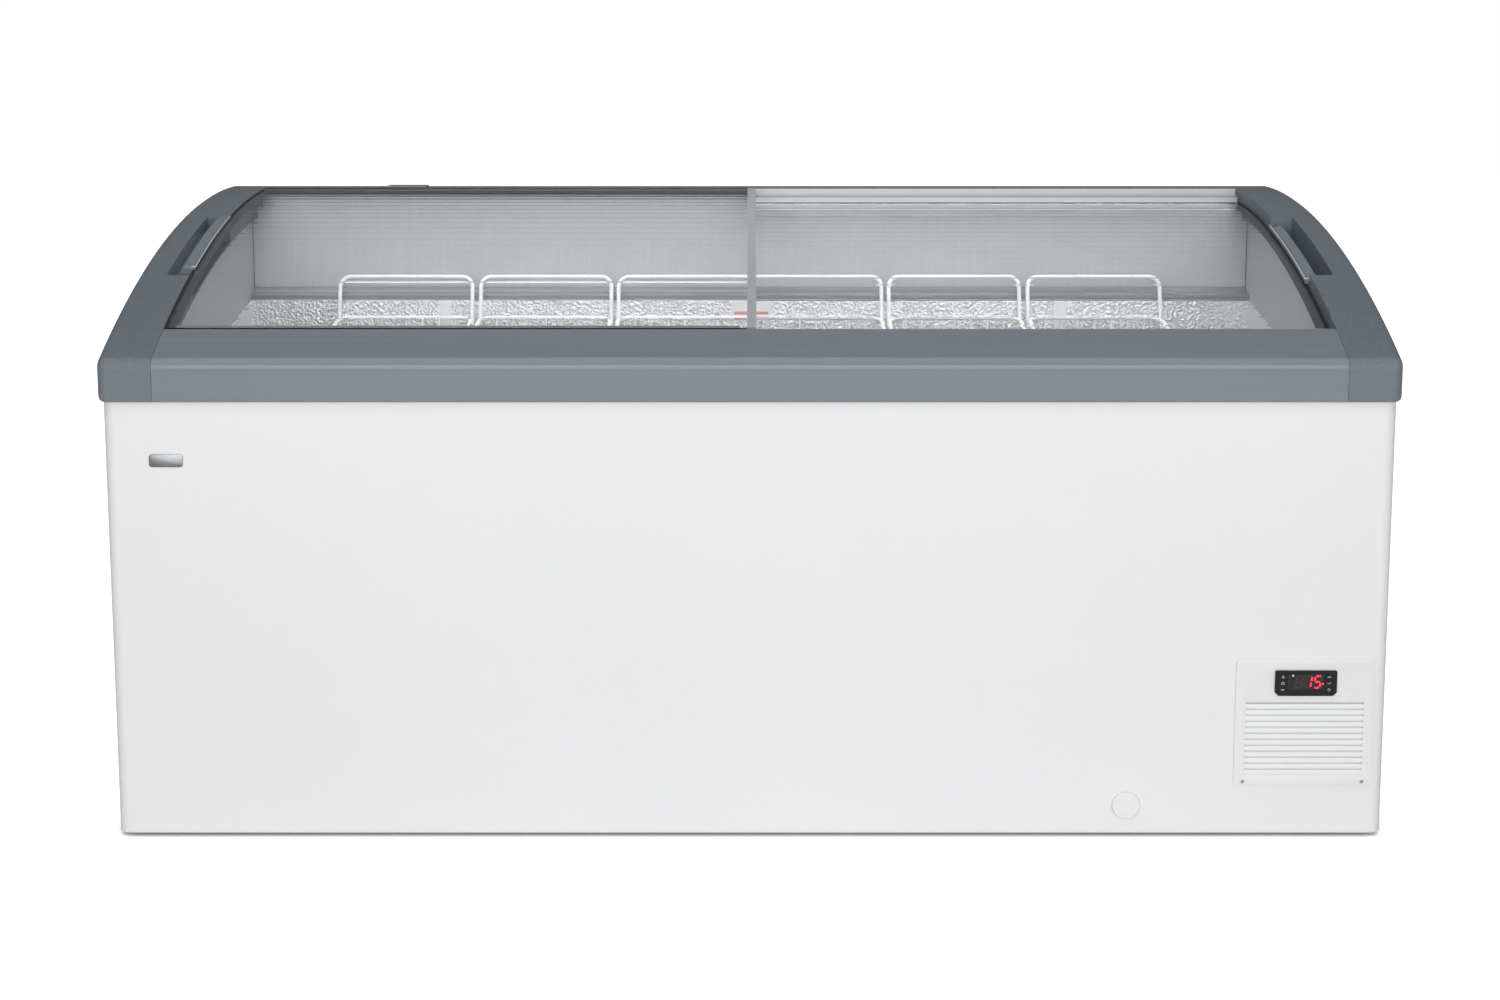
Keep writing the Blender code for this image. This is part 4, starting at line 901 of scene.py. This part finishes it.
# ---- floor, light and camera --------------------------------------------------------------------
def make_stage():
    """A wide pale floor that glows white to the camera; close to what stands on it the glow fades into a
    painted contact shadow.
    """
    make = Nodes("pale_floor")
    make.set(Base_Color=make.tint(make.noise(1.5), shade(WHITE, 0.66), shade(WHITE, 0.69)), Roughness=0.8)
    path = make.tree.nodes.new("ShaderNodeLightPath")
    # painted contact shadow: ambient occlusion dims the camera-only glow under and beside the freezer
    painted_contact_shadow = make.node("ShaderNodeAmbientOcclusion", Distance=PAINTED_SHADOW_REACH)
    painted_contact_shadow.samples = 8
    glow = make.product(path.outputs["Is Camera Ray"], make.product(painted_contact_shadow.outputs["AO"], FLOOR_GLOW))
    make.set(Emission_Color=(1.0, 1.0, 1.0, 1.0), Emission_Strength=glow)
    corners = [(-FLOOR_HALF, -FLOOR_HALF, 0.0), (FLOOR_HALF, -FLOOR_HALF, 0.0),
               (FLOOR_HALF, FLOOR_HALF, 0.0), (-FLOOR_HALF, FLOOR_HALF, 0.0)]
    mesh = bpy.data.meshes.new("studio_floor")
    mesh.from_pydata(corners, [], [(0, 1, 2, 3)])
    mesh.materials.append(make.material)
    floor = bpy.data.objects.new("studio_floor", mesh)
    bpy.context.scene.collection.objects.link(floor)


def make_world():
    """Studio surround, bright low in front and dim above and behind; the backdrop itself is white."""
    world = bpy.data.worlds.new("studio")
    bpy.context.scene.world = world
    world.use_nodes = True
    tree = world.node_tree
    background = tree.nodes["Background"]
    place = tree.nodes.new("ShaderNodeTexCoord").outputs["Generated"]
    facing = tree.nodes.new("ShaderNodeVectorMath")
    facing.operation = "DOT_PRODUCT"
    tree.links.new(place, facing.inputs[0])
    facing.inputs[1].default_value = SOFT_DIRECTION
    ramp = tree.nodes.new("ShaderNodeValToRGB")
    tree.links.new(facing.outputs["Value"], ramp.inputs[0])
    first, last = ramp.color_ramp.elements
    first.position = 0.05
    first.color = (SOFT_DIM, SOFT_DIM * 1.01, SOFT_DIM * 1.03, 1.0)
    last.position = 0.90
    last.color = (SOFT_BRIGHT, SOFT_BRIGHT, SOFT_BRIGHT, 1.0)
    path = tree.nodes.new("ShaderNodeLightPath")
    backdrop = tree.nodes.new("ShaderNodeBackground")
    backdrop.inputs["Color"].default_value = (1.0, 1.0, 1.0, 1.0)
    mix = tree.nodes.new("ShaderNodeMixShader")
    tree.links.new(ramp.outputs["Color"], background.inputs["Color"])
    tree.links.new(path.outputs["Is Camera Ray"], mix.inputs[0])
    tree.links.new(background.outputs[0], mix.inputs[1])
    tree.links.new(backdrop.outputs[0], mix.inputs[2])
    tree.links.new(mix.outputs[0], tree.nodes["World Output"].inputs["Surface"])


def area_light(name, place, target, size, power, spread=180.0):
    """A rectangular lamp aimed at a target, its beam spread in degrees."""
    data = bpy.data.lights.new(name, "AREA")
    data.shape = "RECTANGLE"
    data.size, data.size_y = size
    data.energy = power
    data.spread = math.radians(spread)
    lamp = bpy.data.objects.new(name, data)
    bpy.context.scene.collection.objects.link(lamp)
    lamp.location = place
    lamp.rotation_euler = (Vector(target) - Vector(place)).to_track_quat("-Z", "Y").to_euler()
    return lamp


def make_lights():
    """Soft lamps; the rear one only lifts the back and isn't mirrored in the glass."""
    rear = area_light("rear_fill", (0.0, 4.6, 2.0), (0.0, 0.0, 0.5), (4.0, 1.6), 45.0)
    rear.visible_glossy = False
    rear.visible_transmission = False
    area_light("front_softbox", (0.0, -4.6, 1.1), (0.0, 0.0, 0.5), (4.6, 1.3), 84.0)
    area_light("basket_light", (0.0, -0.3, 2.2), (0.0, 0.28, 0.64), (1.6, 0.15), 1.8, spread=50.0)
    area_light("overhead_strip", (0.0, -1.25, 2.9), (0.0, -0.3, 0.7), (4.5, 0.10), 13.0)


def make_camera():
    """A long-lens view from straight in front, with the frame shifted down."""
    data = bpy.data.cameras.new("camera")
    data.lens = CAMERA_LENS
    data.sensor_width = 36.0
    data.shift_y = CAMERA_SHIFT
    camera = bpy.data.objects.new("camera", data)
    bpy.context.scene.collection.objects.link(camera)
    camera.location = CAMERA_PLACE
    camera.rotation_euler = (math.radians(90 - CAMERA_PITCH), 0.0, 0.0)
    bpy.context.scene.camera = camera
    bpy.context.scene.view_settings.view_transform = "Standard"


finish_frame()
for basket in ("basket_1", "basket_2", "basket_3", "basket_4", "basket_5"):
    make_basket(basket)
for lid_name in LID_RADIUS:
    make_lid_details(lid_name)
make_rear_profile()
make_upper_cover()
make_track_facing()
make_grille()
make_controller()
make_wall_label()
make_badge()
make_screw_recess_shades()
make_stage()
make_world()
make_lights()
make_camera()
